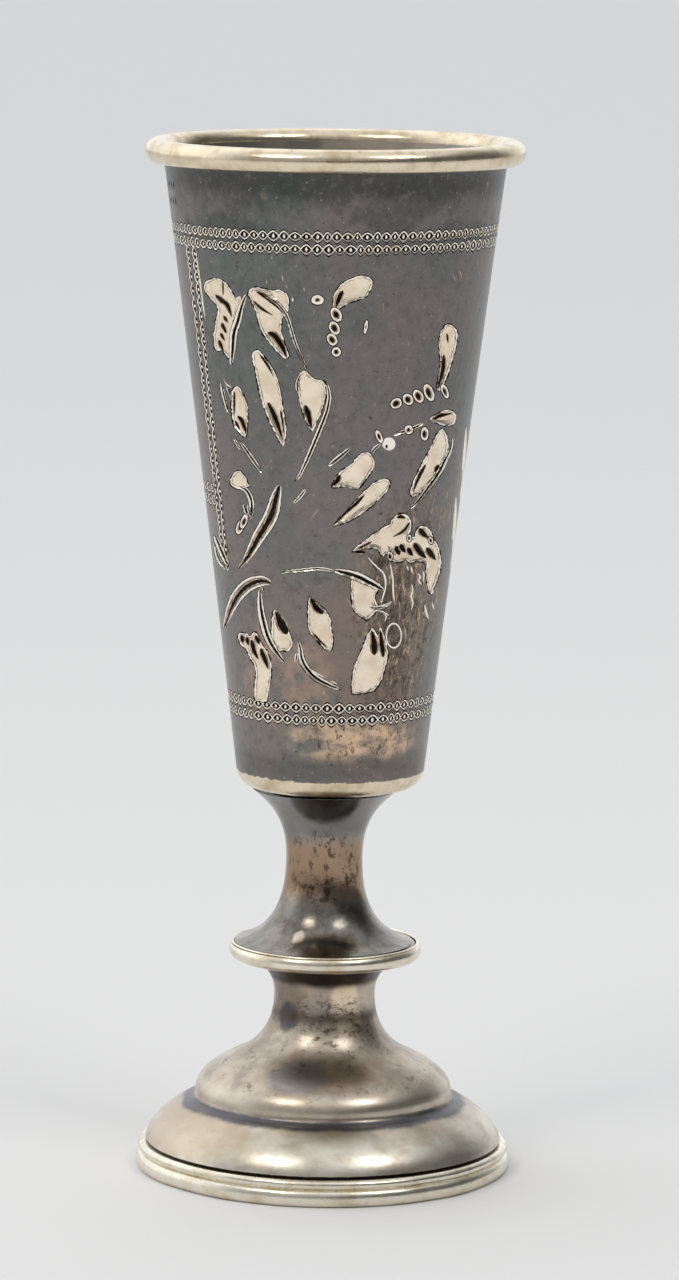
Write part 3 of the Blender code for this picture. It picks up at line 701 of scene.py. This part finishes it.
def add_engraved_wall(body):
    """The outer wall with every mark cut into it."""
    sheet = all_marks()
    border, grid = plain_points(sheet)
    lines = list(sheet.edges)
    for numbers in sheet.areas:
        lines += zip(numbers, numbers[1:] + numbers[:1])
    coords = sheet.points + border + grid
    points, edges, faces, point_ids, _, _ = geometry.delaunay_2d_cdt(coords, lines, [], 0, WELD, True)
    corners = np.array(faces)
    places = np.array(points)
    finishes = finishes_at(sheet, places[corners].mean(1))
    depths = np.zeros(len(points))
    known = np.zeros(len(points), bool)
    for number, ids in enumerate(point_ids):
        marks = [sheet.depths[n] for n in ids if n < len(sheet.points)]
        if marks:
            depths[number] = max(marks)
            known[number] = True
    bare = np.unique(corners[finishes == WALL])
    depths[bare] = 0.0
    known[bare] = True
    depths = settled(depths, known, edges)
    verts = []
    for point, depth in zip(points, depths):
        radius = wall_radius(point.y) - depth
        turn = point.x / UNROLLED_RADIUS
        verts.append(body.verts.new((radius * math.sin(turn), -radius * math.cos(turn), point.y)))
    for triangle, finish in zip(faces, finishes):
        face = body.faces.new([verts[number] for number in triangle])
        face.material_index = int(finish)
        face.smooth = True


def dented(turn):
    """How far the foot wire is pressed in at a turn in degrees, in millimetres."""
    return sum(depth * math.exp(-((turn - middle) / half) ** 2) for middle, half, depth in WIRE_DENTS)


def add_rings(body, profile, finishes, dents=None):
    """Faces turned about the axis from a profile of radius and height, one finish for each step of it."""
    rings = []
    for radius, height in profile:
        if radius < 1e-6:
            rings.append([body.verts.new((0.0, 0.0, height))] * COLUMNS)
            continue
        ring = []
        for column in range(COLUMNS):
            degrees = SEAM_TURN + 360.0 * column / COLUMNS
            turn = math.radians(degrees)
            reach = radius - (dents(degrees) if dents else 0.0)
            ring.append(body.verts.new((reach * math.sin(turn), -reach * math.cos(turn), height)))
        rings.append(ring)
    for low, high, finish in zip(rings, rings[1:], finishes):
        for column in range(COLUMNS):
            after = (column + 1) % COLUMNS
            corners = []
            for vert in (low[column], low[after], high[after], high[column]):
                if vert not in corners:
                    corners.append(vert)
            face = body.faces.new(corners)
            face.material_index = finish
            face.smooth = True


def arc(middle, radius, start, end, steps, squash=1.0):
    """Points along an arc of a profile."""
    points = []
    for step in range(steps + 1):
        angle = math.radians(start + (end - start) * step / steps)
        across = middle[0] + radius * math.cos(angle)
        points.append((across, middle[1] + squash * radius * math.sin(angle)))
    return points


def sweep(start, start_pull, end_pull, end, steps):
    """Points along a Bezier curve of a profile."""
    corners = [Vector((*corner, 0.0)) for corner in (start, start_pull, end_pull, end)]
    return [tuple(point)[:2] for point in geometry.interpolate_bezier(*corners, steps + 1)]


def bend(start, end, first, second, steps):
    """A curve between two points of a profile, each pull given as its share of the way back and of the way up."""
    pulls = []
    for back, up in (first, second):
        pulls.append((end[0] + back * (start[0] - end[0]), start[1] + up * (end[1] - start[1])))
    return sweep(start, *pulls, end, steps)


def joined(*runs):
    """One profile out of several runs, without the points that two runs share."""
    points = []
    for run in runs:
        for point in run:
            if not points or math.dist(point, points[-1]) > 0.001:
                points.append(point)
    return points


def inset(points, wall):
    """A run of a profile moved inwards by the wall, square to its slope."""
    moved = []
    for index, (radius, height) in enumerate(points):
        before = points[max(index - 1, 0)]
        after = points[min(index + 1, len(points) - 1)]
        along = Vector((after[0] - before[0], after[1] - before[1])).normalized()
        moved.append((radius - wall * along.y, height + wall * along.x))
    return moved


def finished(name, body, finishes, place, node, crease=15.0):
    """A piece from its faces in millimetres, on its place, standing for its node."""
    bmesh.ops.remove_doubles(body, verts=body.verts, dist=0.0008)
    for edge in body.edges:
        pair = edge.link_faces
        if len(pair) == 2:
            split = pair[0].material_index != pair[1].material_index
            edge.smooth = not split and edge.calc_face_angle(0.0) < math.radians(crease)
    bmesh.ops.transform(body, matrix=place.to_3x3().to_4x4() @ Matrix.Scale(MM, 4), verts=body.verts)
    mesh = bpy.data.meshes.new(name)
    body.to_mesh(mesh)
    body.free()
    for finish in finishes:
        mesh.materials.append(finish)
    piece = bpy.data.objects.new(name, mesh)
    bpy.context.scene.collection.objects.link(piece)
    piece.location = place.translation
    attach(piece, "root")
    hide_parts(node)
    return piece


def make_bowl(finishes):
    """The bowl: engraved wall, bright lower edge, rolled rim, inside and floor."""
    body = bmesh.new()
    add_engraved_wall(body)
    base = (wall_radius(BOWL_EDGE_HEIGHT), BOWL_EDGE_HEIGHT)
    edge = bend((base[0] - BOWL_EDGE_INSET, 0.0), base, *BOWL_EDGE_PULLS, 16)
    lower = joined([(0.0, 0.0), (4.0, 0.0)], edge, [(wall_radius(SHEET_LOW), SHEET_LOW)])
    add_rings(body, lower, [PALE] * (len(lower) - 2) + [WALL])
    leaving = -math.degrees(math.acos((BOWL_WALL - RIM_ROLL) / RIM_ROLL))
    rim = arc((BOWL_TOP_RADIUS - BOWL_WALL + RIM_ROLL, BOWL_RIM_HEIGHT), RIM_TUBE, leaving, 180, 36)
    levels = np.linspace(BOWL_RIM_HEIGHT - 1.0, BOWL_EDGE_HEIGHT + 1.6, 14)
    inside = [(wall_radius(level) - BOWL_WALL, level) for level in levels]
    floor = sweep(
        inside[-1],
        (inside[-1][0] - 0.2, BOWL_WALL + 0.6),
        (inside[-1][0] - 0.8, BOWL_WALL),
        (inside[-1][0] - 2.4, BOWL_WALL),
        8,
    )
    start = [(wall_radius(SHEET_HIGH), SHEET_HIGH)]
    upper = joined(start, rim, inside, floor, [(3.0, BOWL_WALL), (0.0, BOWL_WALL)])
    pale = len(rim)
    add_rings(body, upper, [WALL] + [PALE] * (pale - 1) + [INSIDE] * (len(upper) - pale - 1))
    return finished("engraved_bowl", body, finishes, bowl_place(), "bowl")


def foot_outline(edge, steps):
    """The foot's outside from its lower edge to its flare, in millimetres above the edge."""
    runs = []
    here = (edge, 0.0)
    for rise, radius, first, second, share in FOOT_RUNS:
        there = (radius, here[1] + rise)
        runs.append(bend(here, there, first, second, round(share * steps)))
        here = there
    return joined(*runs)


def add_tube(body, outside, inner_run):
    """A turned tube of sheet metal with flat edges, from its outside and the run that its inside follows."""
    inside = inset(inner_run, SHEET_WALL)
    inside[0] = (inside[0][0], outside[0][1])
    inside[-1] = (inside[-1][0], outside[-1][1])
    profile = outside + inside[::-1] + [outside[0]]
    add_rings(body, profile, [0] * (len(profile) - 1))


def make_foot(finish):
    """The stepped foot."""
    body = bmesh.new()
    edge = FOOT_HIGH.x / MM
    solder = [(edge - 0.2, 0.03 - SEAM), (edge - 0.16, 0.0), (edge, 0.0)]
    add_tube(body, solder + foot_outline(edge, 20)[1:], foot_outline(edge, 10))
    place = Matrix.Translation((0.0, 0.0, FOOT_LOW.z))
    return finished("stepped_foot", body, [finish], place, "foot")


def make_foot_wire(finish):
    """The reeded wire under the foot."""
    body = bmesh.new()
    radius = FOOT_WIRE_HIGH.x / MM
    tall = FOOT_WIRE_HIGH.z / MM
    upper_reed = tall - LOWER_REED
    lower_middle = (radius - REED_BULGE, LOWER_REED / 2)
    upper_middle = (radius - REED_BULGE - UPPER_SETBACK, LOWER_REED + upper_reed / 2)
    lower = arc(lower_middle, REED_BULGE, -90, 76, 16, LOWER_REED / 2 / REED_BULGE)
    upper = arc(upper_middle, REED_BULGE, -66, 90, 12, upper_reed / 2 / REED_BULGE)
    inner = radius - WIRE_WIDTH
    profile = joined([(inner, 0.0)], lower, upper, [(inner, tall), (inner, 0.0)])
    profile.append((inner, 0.0))
    add_rings(body, profile, [0] * (len(profile) - 1), dented)
    return finished("reeded_foot_wire", body, [finish], Matrix.Identity(4), "foot_rim", 40.0)


def make_collar(finish):
    """The rounded collar that the stem's lip sits in."""
    body = bmesh.new()
    radius = COLLAR_HIGH.x / MM
    tall = (COLLAR_HIGH.z - COLLAR_LOW.z) / MM
    ledge = tall - STEM_LIP - SEAM
    bulge = tall / 2
    rounded = arc((radius - bulge, bulge), bulge, -90, 62, 24)
    crest = arc((radius - COLLAR_BEAD * 0.86, tall - 0.16), 0.16, 20, 160, 6)
    profile = joined(
        [(COLLAR_BORE, 0.0)],
        rounded,
        crest,
        [(radius - COLLAR_BEAD, ledge), (COLLAR_BORE, ledge), (COLLAR_BORE, 0.0)],
    )
    add_rings(body, profile, [0] * (len(profile) - 1))
    place = Matrix.Translation((0.0, 0.0, COLLAR_LOW.z))
    return finished("collar_ring", body, [finish], place, "knop_ring", 40.0)


def stem_outline(lip, top, steps):
    """The stem's outside above its lip, in millimetres above its lower edge."""
    neck = (STEM_NECK_RADIUS, STEM_NECK_RISE)
    lower = bend((lip, STEM_LIP), neck, *STEM_SKIRT_PULLS, steps * 3 // 2)
    return joined(lower, bend(neck, (STEM_TOP_RADIUS, top), *STEM_FLARE_PULLS, steps))


def make_stem(finish):
    """The turned stem with its upright lip."""
    body = bmesh.new()
    lip = (STEM_HIGH.x - STEM_LOW.x) / 2 / MM
    top = (STEM_HIGH.z - STEM_LOW.z) / MM
    skirt = lip + SEAM - 0.03
    seat = [(skirt, 0.0), (skirt, 0.3), (lip, 0.36)]
    add_tube(body, seat + stem_outline(lip, top, 20), stem_outline(lip, top, 10))
    place = Matrix.Translation(((STEM_HIGH.x + STEM_LOW.x) / 2, 0.0, STEM_LOW.z))
    return finished("turned_stem", body, [finish], place, "stem")


def seen(red, green, blue):
    """A colour as it is seen on a screen, from 0 to 255, as the linear colour of a shader."""
    linear = []
    for value in (red, green, blue):
        value = value / 255
        linear.append(value / 12.92 if value < 0.04045 else ((value + 0.055) / 1.055) ** 2.4)
    return (*linear, 1.0)


EVEN = (1.0, 1.0, 1.0)

# Areas of a finish. A spot is a ragged patch, in degrees and millimetres. A belt lies between two heights, its
# borders wandering. A grain is noise cut by a soft step, with the size and stretch of its patches.
Spot = namedtuple("Spot", "turn height half_turn half_height ragged size shift")
Belt = namedtuple("Belt", "low high soft wander size shift")
Grain = namedtuple("Grain", "low high size detail rough stretch shift", defaults=(0.5, EVEN, 0.0))

# Areas that more than one layer is laid through
WORN_BASE = Spot(16.0, 6.0, 46.0, 2.6, 0.7, 3.2, 17.0)
WORN_FLOWER = Spot(38.0, 20.0, 30.0, 12.0, 0.8, 2.0, 15.0)
STREAKS = Grain(0.52, 0.62, 0.45, 5.0, 0.8, (1.0, 1.0, 2.6), 19.0)
CUT_PITS = Grain(0.68, 0.75, 0.25, 2.0, 0.6, EVEN, 5.0)

# Layers of each finish, from the lowest: colour, strength, and the areas that it shows through
WALL_LAYERS = (
    ((102, 112, 108), 0.5, Spot(-32.0, 50.0, 34.0, 10.0, 0.7, 4.0, 3.0)),
    ((140, 120, 104), 0.5, Spot(26.0, 15.0, 38.0, 13.0, 0.8, 4.0, 7.0)),
    ((92, 78, 68), 0.55, Spot(30.0, 17.0, 16.0, 12.0, 1.0, 2.0, 9.0)),
    ((176, 150, 132), 0.8, Spot(-26.0, 12.5, 30.0, 6.0, 0.9, 3.0, 11.0),
     Grain(0.36, 0.62, 2.2, 3.0, 0.6, EVEN, 55.0)),
    ((226, 196, 164), 0.95, WORN_BASE, Grain(0.34, 0.62, 1.9, 4.0, 0.6, (1.6, 1.6, 0.8), 53.0)),
    ((70, 52, 42), 0.8, WORN_BASE, Grain(0.54, 0.64, 0.5, 4.0, 0.7, (1.0, 1.0, 2.5), 57.0)),
    ((96, 94, 88), 0.6, Belt(1.9, 4.2, 1.6, 0.9, 3.0, 21.0)),
    ((206, 182, 150), 0.85, WORN_FLOWER, STREAKS),
    ((56, 44, 36), 0.75, WORN_FLOWER, Grain(0.48, 0.6, 0.7, 5.0, 0.78, (1.0, 1.0, 2.0), 51.0)),
    ((190, 152, 112), 0.9, Spot(60.0, 28.6, 9.0, 2.6, 0.8, 1.2, 59.0), STREAKS),
    # Painted shade under the rolled rim.
    ((60, 62, 60), 0.8, Belt(60.4, 66.0, 2.6, 1.4, 2.6, 23.0)),
    ((62, 68, 66), 0.5, Belt(56.0, 62.0, 3.0, 2.0, 5.0, 61.0), Grain(0.44, 0.6, 4.2, 4.0, 0.6, EVEN, 63.0)),
    ((150, 142, 134), 0.3, Grain(0.5, 0.72, 1.1, 4.0, 0.7, EVEN, 29.0)),
    ((66, 60, 60), 0.35, Grain(0.5, 0.3, 1.1, 4.0, 0.7, EVEN, 29.0)),
    ((190, 176, 156), 0.5, Grain(0.66, 0.74, 0.34, 2.0, 0.6, EVEN, 31.0)),
    ((50, 44, 44), 0.7, Grain(0.66, 0.74, 0.42, 2.0, 0.6, EVEN, 37.0)),
)
STEM_TONES = (
    ((152, 124, 98), 0.8, Belt(5.5, 11.5, 2.5, 0.8, 3.0, 3.0)),
    ((112, 114, 114), 0.8, Belt(11.5, 17.0, 2.0, 0.9, 3.0, 6.0)),
)
STEM_HIGHLIGHT_AND_CRACKS = (
    # Painted highlight: a pale streak low on the lower flare.
    ((232, 220, 200), 0.85, Spot(-23.0, 1.9, 6.5, 0.6, 0.7, 0.7, 39.0)),
    ((56, 40, 28), 0.75, Grain(0.505, 0.59, 0.9, 5.0, 0.8, (1.0, 1.0, 1.6), 12.0),
     Spot(4.0, 8.4, 76.0, 4.8, 0.8, 2.0, 15.0)),
)
FOOT_LAYERS = (
    ((226, 222, 208), 0.85, Belt(-1.0, 3.0, 2.2, 0.8, 4.0, 3.0)),
    ((168, 148, 126), 0.5, Grain(0.42, 0.7, 3.4, 4.0, 0.6, (1.0, 1.0, 0.5), 16.0)),
    ((186, 166, 142), 0.6, Spot(-62.0, 2.0, 46.0, 2.6, 0.8, 4.0, 37.0)),
    # Painted shade in the crease between the domes.
    ((60, 66, 80), 0.85, Belt(3.72, 4.45, 0.36, 0.3, 2.5, 6.0)),
    ((40, 32, 26), 1.0, Belt(-2.0, -0.05, 0.06, 0.08, 1.2, 14.0)),
    ((136, 136, 148), 0.6, Spot(-14.0, 8.3, 22.0, 1.6, 0.9, 1.6, 21.0)),
    # Painted highlight along the low edge of the upper dome.
    ((224, 214, 196), 0.5, Belt(4.9, 6.6, 1.2, 0.4, 3.0, 33.0)),
    ((78, 66, 54), 0.5, Grain(0.56, 0.66, 1.6, 5.0, 0.7, EVEN, 35.0), Belt(6.0, 15.5, 2.0, 0.6, 3.0, 36.0)),
    ((104, 92, 78), 0.6, Spot(-48.0, 14.5, 36.0, 3.0, 0.8, 2.0, 24.0)),
    # Painted reflection of a window on the neck.
    ((244, 224, 194), 0.75, Spot(26.0, 14.6, 22.0, 3.6, 0.8, 2.4, 27.0)),
    # Painted dark reflection on the neck.
    ((58, 64, 74), 0.8, Spot(-44.0, 13.2, 18.0, 1.7, 0.6, 1.4, 41.0)),
    ((62, 46, 32), 0.75, Grain(0.51, 0.6, 0.8, 5.0, 0.8, (1.4, 1.4, 0.8), 43.0),
     Spot(14.0, 12.8, 60.0, 3.4, 0.8, 1.6, 45.0)),
    # Painted shade under the collar.
    ((48, 42, 38), 0.9, Belt(16.6, 20.0, 0.8, 0.4, 3.0, 9.0)),
    ((84, 70, 56), 0.6, Belt(12.8, 13.6, 0.8, 0.5, 2.0, 12.0)),
)

# Sockets of the node that mixes two colours or two numbers
FIRST_COLOUR, SECOND_COLOUR, COLOUR_OUT = 6, 7, 2
FIRST_NUMBER, SECOND_NUMBER, NUMBER_OUT = 2, 3, 0


def feed(tree, socket, value):
    """Give a socket a number, a colour or another node's output."""
    if isinstance(value, bpy.types.NodeSocket):
        tree.links.new(value, socket)
    else:
        socket.default_value = value


def add_node(tree, kind, values, **settings):
    """A new node with its settings and the values of its sockets."""
    node = tree.nodes.new("ShaderNode" + kind)
    for name, setting in settings.items():
        setattr(node, name, setting)
    for key, value in values.items():
        feed(tree, node.inputs[key], value)
    return node


class Finish:
    """A metal finish put together from nodes, laid out in millimetres of the piece's own space."""

    def __init__(self, name, metallic=1.0):
        self.material = bpy.data.materials.new(name)
        self.material.use_nodes = True
        self.tree = self.material.node_tree
        self.shader = self.tree.nodes["Principled BSDF"]
        self.shader.inputs["Metallic"].default_value = metallic
        self.tone = None
        self.made = {}
        metres = self.tree.nodes.new("ShaderNodeTexCoord").outputs["Object"]
        self.place = self.node("VectorMath", {0: metres, "Scale": 1.0 / MM}, operation="SCALE").outputs[0]
        parts = self.node("SeparateXYZ", {0: self.place})
        self.height = parts.outputs["Z"]
        front = self.math("MULTIPLY", parts.outputs["Y"], -1.0)
        self.turn = self.math("DEGREES", self.math("ARCTAN2", parts.outputs["X"], front))

    def node(self, kind, values, **settings):
        """A new node of this finish."""
        return add_node(self.tree, kind, values, **settings)

    def math(self, operation, *values, clamp=False):
        """One step of arithmetic."""
        return self.node("Math", dict(enumerate(values)), operation=operation, use_clamp=clamp).outputs[0]

    def noise(self, size, detail=2.0, rough=0.5, stretch=EVEN, shift=0.0):
        """Soft random values with patches of a size in millimetres, drawn out along an axis by a stretch."""
        scale = tuple(1.0 / (size * share) for share in stretch)
        location = (shift, shift * 0.7, shift * 1.3)
        moved = self.node("Mapping", {"Vector": self.place, "Location": location, "Scale": scale}).outputs[0]
        values = {"Vector": moved, "Scale": 1.0, "Detail": detail, "Roughness": rough}
        return self.node("TexNoise", values).outputs[0]

    def step(self, value, low, high):
        """A soft step from 0 at low to 1 at high."""
        values = dict(enumerate((value, low, high, 0.0, 1.0)))
        return self.node("MapRange", values, interpolation_type="SMOOTHSTEP").outputs[0]

    def mix(self, share, first, second):
        """A colour between two."""
        values = {0: share, FIRST_COLOUR: first, SECOND_COLOUR: second}
        return self.node("Mix", values, data_type="RGBA").outputs[COLOUR_OUT]

    def blend(self, share, first, second):
        """A number between two."""
        return self.node("Mix", {0: share, FIRST_NUMBER: first, SECOND_NUMBER: second}).outputs[NUMBER_OUT]

    def grain(self, low, high, *noise):
        """1 where a noise is past high, and 0 where it is below low."""
        return self.step(self.noise(*noise), low, high)

    def rags(self, reach, *noise):
        """Noise between minus and plus a reach."""
        return self.math("MULTIPLY_ADD", self.noise(*noise), 2 * reach, -reach)

    def belt(self, low, high, soft, wander, size, shift):
        """1 between two heights, fading over soft, its borders wandering by a length."""
        level = self.math("ADD", self.height, self.rags(wander, size, 3.0, 0.6, EVEN, shift))
        up = self.step(level, low - soft / 2, low + soft / 2)
        down = self.step(level, high - soft / 2, high + soft / 2)
        return self.math("SUBTRACT", up, down, clamp=True)

    def spot(self, turn, height, half_turn, half_height, ragged, size, shift):
        """1 within a patch of the surface, with a ragged border."""
        across = self.math("DIVIDE", self.math("SUBTRACT", self.turn, turn), half_turn)
        up = self.math("DIVIDE", self.math("SUBTRACT", self.height, height), half_height)
        square = self.math("ADD", self.math("POWER", across, 2.0), self.math("POWER", up, 2.0))
        border = self.math("ADD", square, self.rags(ragged, size, 4.0, 0.65, EVEN, shift))
        return self.math("SUBTRACT", 1.0, self.step(border, 0.25, 1.1))

    def area(self, area):
        """The share of an area, made once."""
        if area not in self.made:
            kinds = {Spot: self.spot, Belt: self.belt, Grain: self.grain}
            self.made[area] = kinds[type(area)](*area)
        return self.made[area]

    def lay(self, layers):
        """Lay colours over the tone one after the other, each through the product of its areas."""
        for colour, strength, *areas in layers:
            share = self.area(areas[0])
            for area in areas[1:]:
                share = self.math("MULTIPLY", share, self.area(area))
            self.tint(colour, self.math("MULTIPLY", share, strength))

    def tint(self, colour, share):
        """Mix the tone with a colour, given as it is seen or as another node's output."""
        second = seen(*colour) if isinstance(colour, tuple) else colour
        self.tone = self.mix(share, self.tone, second)

    def bump(self, heights, distance):
        """Fine relief of the surface, in millimetres."""
        node = self.node("Bump", {"Strength": 1.0, "Distance": distance * MM, "Height": heights})
        self.tree.links.new(node.outputs[0], self.shader.inputs["Normal"])

    def done(self, roughness):
        """The material with its tone and roughness."""
        feed(self.tree, self.shader.inputs["Base Color"], self.tone)
        feed(self.tree, self.shader.inputs["Roughness"], roughness)
        return self.material


def clouded(name, clouds, light, shade, layers=(), metallic=1.0):
    """A finish begun with two tones in clouds, and its layers."""
    make = Finish(name, metallic)
    make.tone = make.mix(make.area(clouds), seen(*light), seen(*shade))
    make.lay(layers)
    return make


def wall_finish():
    """Oxidised silver of the bowl's wall: grey with a green and a purple tinge, worn brown low down, with painted
    shade under the rim.
    """
    make = Finish("oxidised_wall")
    make.shader.inputs["Coat Weight"].default_value = 0.3
    make.shader.inputs["Coat Roughness"].default_value = 0.22
    broad = make.noise(9.0, 3.0, 0.55)
    lower = make.math("SUBTRACT", 1.0, make.step(make.height, 10.0, 62.0))
    level = make.mix(lower, seen(102, 102, 100), seen(136, 129, 124))
    tinge = make.mix(make.step(broad, 0.38, 0.62), seen(107, 112, 111), seen(131, 120, 117))
    make.tone = make.mix(0.5, level, tinge)
    make.lay(WALL_LAYERS)
    bare = make.math("SUBTRACT", 1.0, make.belt(1.72, 90.0, 0.16, 0.4, 0.7, 41.0))
    make.tint((232, 216, 188), bare)
    fine = make.noise(0.6, 4.0, 0.6, (1.0, 1.0, 5.0), 43.0)
    make.bump(make.math("ADD", fine, make.math("MULTIPLY", broad, 1.5)), 0.035)
    mottle = make.noise(1.1, 4.0, 0.7, EVEN, 29.0)
    return make.done(make.blend(bare, make.math("MULTIPLY_ADD", mottle, 0.16, 0.30), 0.24))


def cut_finish(name, clouds, light, shade, pit_colour, depth, roughness):
    """A fresh cut surface of the engraving."""
    make = clouded(name, clouds, light, shade, ((pit_colour, 0.5, CUT_PITS),))
    make.bump(make.noise(0.35, 3.0, 0.6, (1.0, 1.0, 3.0)), depth)
    return make.done(roughness)


def dark_finish():
    """The blackened depth of the cuts, also laid as a line of painted shade round each leaf."""
    make = clouded("dark_cut", Grain(0.35, 0.7, 0.5, 2.0), (10, 7, 5), (36, 27, 21), metallic=0.0)
    make.shader.inputs["Specular IOR Level"].default_value = 0.12
    return make.done(0.6)


def pale_finish(name, light, shade, rough):
    """Polished pale silver of the bowl's edges, the collar and the foot wire."""
    pits = ((96, 80, 64), 0.6, Grain(0.69, 0.76, 0.35, 2.0, 0.6, EVEN, 5.0))
    make = clouded(name, Grain(0.4, 0.7, 2.5, 4.0, 0.6), light, shade, (pits,))
    make.bump(make.noise(0.7, 4.0, 0.6, (1.0, 1.0, 0.5)), 0.02)
    return make.done(make.math("MULTIPLY_ADD", make.noise(1.2, 3.0), 0.14, rough))


def inside_finish():
    """The greyish inside of the bowl, brighter further down."""
    make = clouded("bowl_inside", Grain(0.35, 0.65, 6.0, 3.0), (196, 186, 168), (156, 152, 144))
    level = make.math("MULTIPLY_ADD", make.noise(6.0, 3.0), 10.0, make.height)
    deep = make.math("SUBTRACT", 1.0, make.step(level, 40.0, 62.0))
    make.tint((232, 226, 212), make.math("MULTIPLY", deep, 0.85))
    make.bump(make.noise(0.8, 4.0, 0.6), 0.02)
    return make.done(0.36)


def worn_base(name):
    """Warm grey silver with dark specks and clouds, shared by the stem and the foot."""
    specks = ((66, 54, 44), 0.55, Grain(0.62, 0.74, 0.55, 3.0, 0.65, EVEN, 9.0))
    make = clouded(name, Grain(0.35, 0.68, 4.0, 4.0, 0.6), (196, 185, 170), (152, 142, 130), (specks,))
    make.bump(make.noise(0.8, 4.0, 0.6), 0.02)
    return make


def worn_done(make, change, least):
    """A worn finish with its roughness, which changes with its clouds."""
    return make.done(make.math("MULTIPLY_ADD", make.noise(4.0, 4.0, 0.6), change, least))


def stem_finish():
    """Worn silver of the stem: brown in its middle, greyer at its flares, with a patchy painted dark reflection
    over its lower flare and a painted highlight low on it.
    """
    make = worn_base("stem_silver")
    make.lay(STEM_TONES)
    # Painted dark reflection over the lower flare, broken into patches.
    patches = make.area(Grain(0.4, 0.62, 1.4, 5.0, 0.7, EVEN, 18.0))
    patchy_dark_reflection = make.mix(patches, seen(112, 114, 112), seen(72, 70, 66))
    make.lay(((patchy_dark_reflection, 0.74, Belt(-1.0, 5.2, 2.0, 0.7, 3.0, 9.0)),))
    make.lay(STEM_HIGHLIGHT_AND_CRACKS)
    return worn_done(make, 0.12, 0.14)


def foot_finish():
    """Worn silver of the foot: pale on its domes, with painted shade under the collar and in its crease, a
    painted highlight low on the upper dome and painted reflections on its neck.
    """
    make = worn_base("foot_silver")
    make.lay(FOOT_LAYERS)
    return worn_done(make, 0.16, 0.24)


def plain_finish(name, colour, roughness=0.9):
    """A matt surface of the studio."""
    material = bpy.data.materials.new(name)
    material.use_nodes = True
    shader = material.node_tree.nodes["Principled BSDF"]
    shader.inputs["Base Color"].default_value = colour
    shader.inputs["Roughness"].default_value = roughness
    shader.inputs["Specular IOR Level"].default_value = 0.1
    return material


def make_floor():
    """A wide plain pale floor."""
    bpy.ops.mesh.primitive_circle_add(vertices=96, radius=40.0, fill_type="NGON", location=(0.0, 0.0, 0.0))
    floor = bpy.context.object
    floor.name = "studio_floor"
    floor.data.materials.append(plain_finish("studio_floor", (0.84, 0.84, 0.845, 1.0)))


def make_softbox(name, place, colour):
    """A rectangular soft light."""
    lamp = bpy.data.lights.new(name, "AREA")
    lamp.shape = "RECTANGLE"
    lamp.size = SOFTBOX_WIDE
    lamp.size_y = SOFTBOX_TALL
    lamp.energy = SOFTBOX_RADIANCE * math.pi * SOFTBOX_WIDE * SOFTBOX_TALL
    lamp.color = colour
    light = bpy.data.objects.new(name, lamp)
    bpy.context.scene.collection.objects.link(light)
    light.location = place
    light.rotation_euler = (Vector(LIGHTS_AIM) - Vector(place)).to_track_quat("-Z", "Y").to_euler()
    light.visible_camera = False


def make_world():
    """Surroundings that are pale behind and overhead, and dark in front above the table."""
    world = bpy.data.worlds.new("studio")
    world.use_nodes = True
    tree = world.node_tree
    towards = tree.nodes.new("ShaderNodeTexCoord").outputs["Generated"]
    shares = []
    for axis, low, high, full in PALE_SIDES:
        facing = add_node(tree, "VectorMath", {0: towards, 1: axis}, operation="DOT_PRODUCT").outputs["Value"]
        values = dict(enumerate((facing, low, high, 0.0, full)))
        shares.append(add_node(tree, "MapRange", values, interpolation_type="SMOOTHSTEP").outputs[0])
    most = add_node(tree, "Math", dict(enumerate(shares)), operation="MAXIMUM").outputs[0]
    values = {0: most, FIRST_COLOUR: DIM_AIR, SECOND_COLOUR: PALE_AIR}
    tint = add_node(tree, "Mix", values, data_type="RGBA").outputs[COLOUR_OUT]
    tree.links.new(tint, tree.nodes["Background"].inputs["Color"])
    bpy.context.scene.world = world


def make_studio():
    """Pale surroundings and soft lights from above and in front."""
    make_world()
    make_floor()
    sky = bpy.data.lights.new("overhead", "SUN")
    sky.angle = math.radians(130)
    sky.energy = 0.72
    overhead = bpy.data.objects.new("overhead", sky)
    bpy.context.scene.collection.objects.link(overhead)
    overhead.rotation_euler = Vector((0.35, 0.25, -1.0)).to_track_quat("-Z", "Y").to_euler()
    for softbox in SOFTBOXES:
        make_softbox(*softbox)


def make_camera():
    """The camera at the picture's viewpoint."""
    lens = bpy.data.cameras.new("camera")
    lens.sensor_width = SENSOR_WIDE
    lens.lens = FOCAL_PIXELS / PICTURE_TALL * SENSOR_WIDE
    lens.clip_start = 0.01
    camera = bpy.data.objects.new("camera", lens)
    bpy.context.scene.collection.objects.link(camera)
    camera.matrix_world = Matrix.Translation(CAMERA_PLACE) @ camera_turn().to_4x4()
    bpy.context.scene.camera = camera


def build():
    """The whole scene."""
    make_camera()
    make_studio()
    edge = pale_finish("bowl_edges", (232, 219, 194), (204, 186, 156), 0.14)
    pale = pale_finish("pale_silver", (236, 230, 214), (216, 204, 180), 0.18)
    bright = cut_finish("bright_cut", Grain(0.35, 0.7, 1.6, 3.0), (255, 251, 240), (250, 236, 216),
                        (128, 108, 88), 0.015, 0.27)
    cream = cut_finish("cream_cut", Grain(0.36, 0.66, 1.8, 4.0, 0.6), (250, 237, 216), (234, 216, 192),
                       (120, 100, 80), 0.02, 0.31)
    # Brownish painted shade round the cuts, also the colour of faint scratches.
    shade_and_scratch = clouded("painted_shade_and_scratch_cut", Grain(0.35, 0.65, 0.7, 3.0), (204, 182, 156), (142, 122, 104)).done(0.4)
    make_bowl([wall_finish(), bright, dark_finish(), edge, inside_finish(), shade_and_scratch, cream])
    make_stem(stem_finish())
    make_collar(pale)
    make_foot(foot_finish())
    make_foot_wire(pale)
    bpy.context.scene.view_settings.view_transform = "Standard"


build()
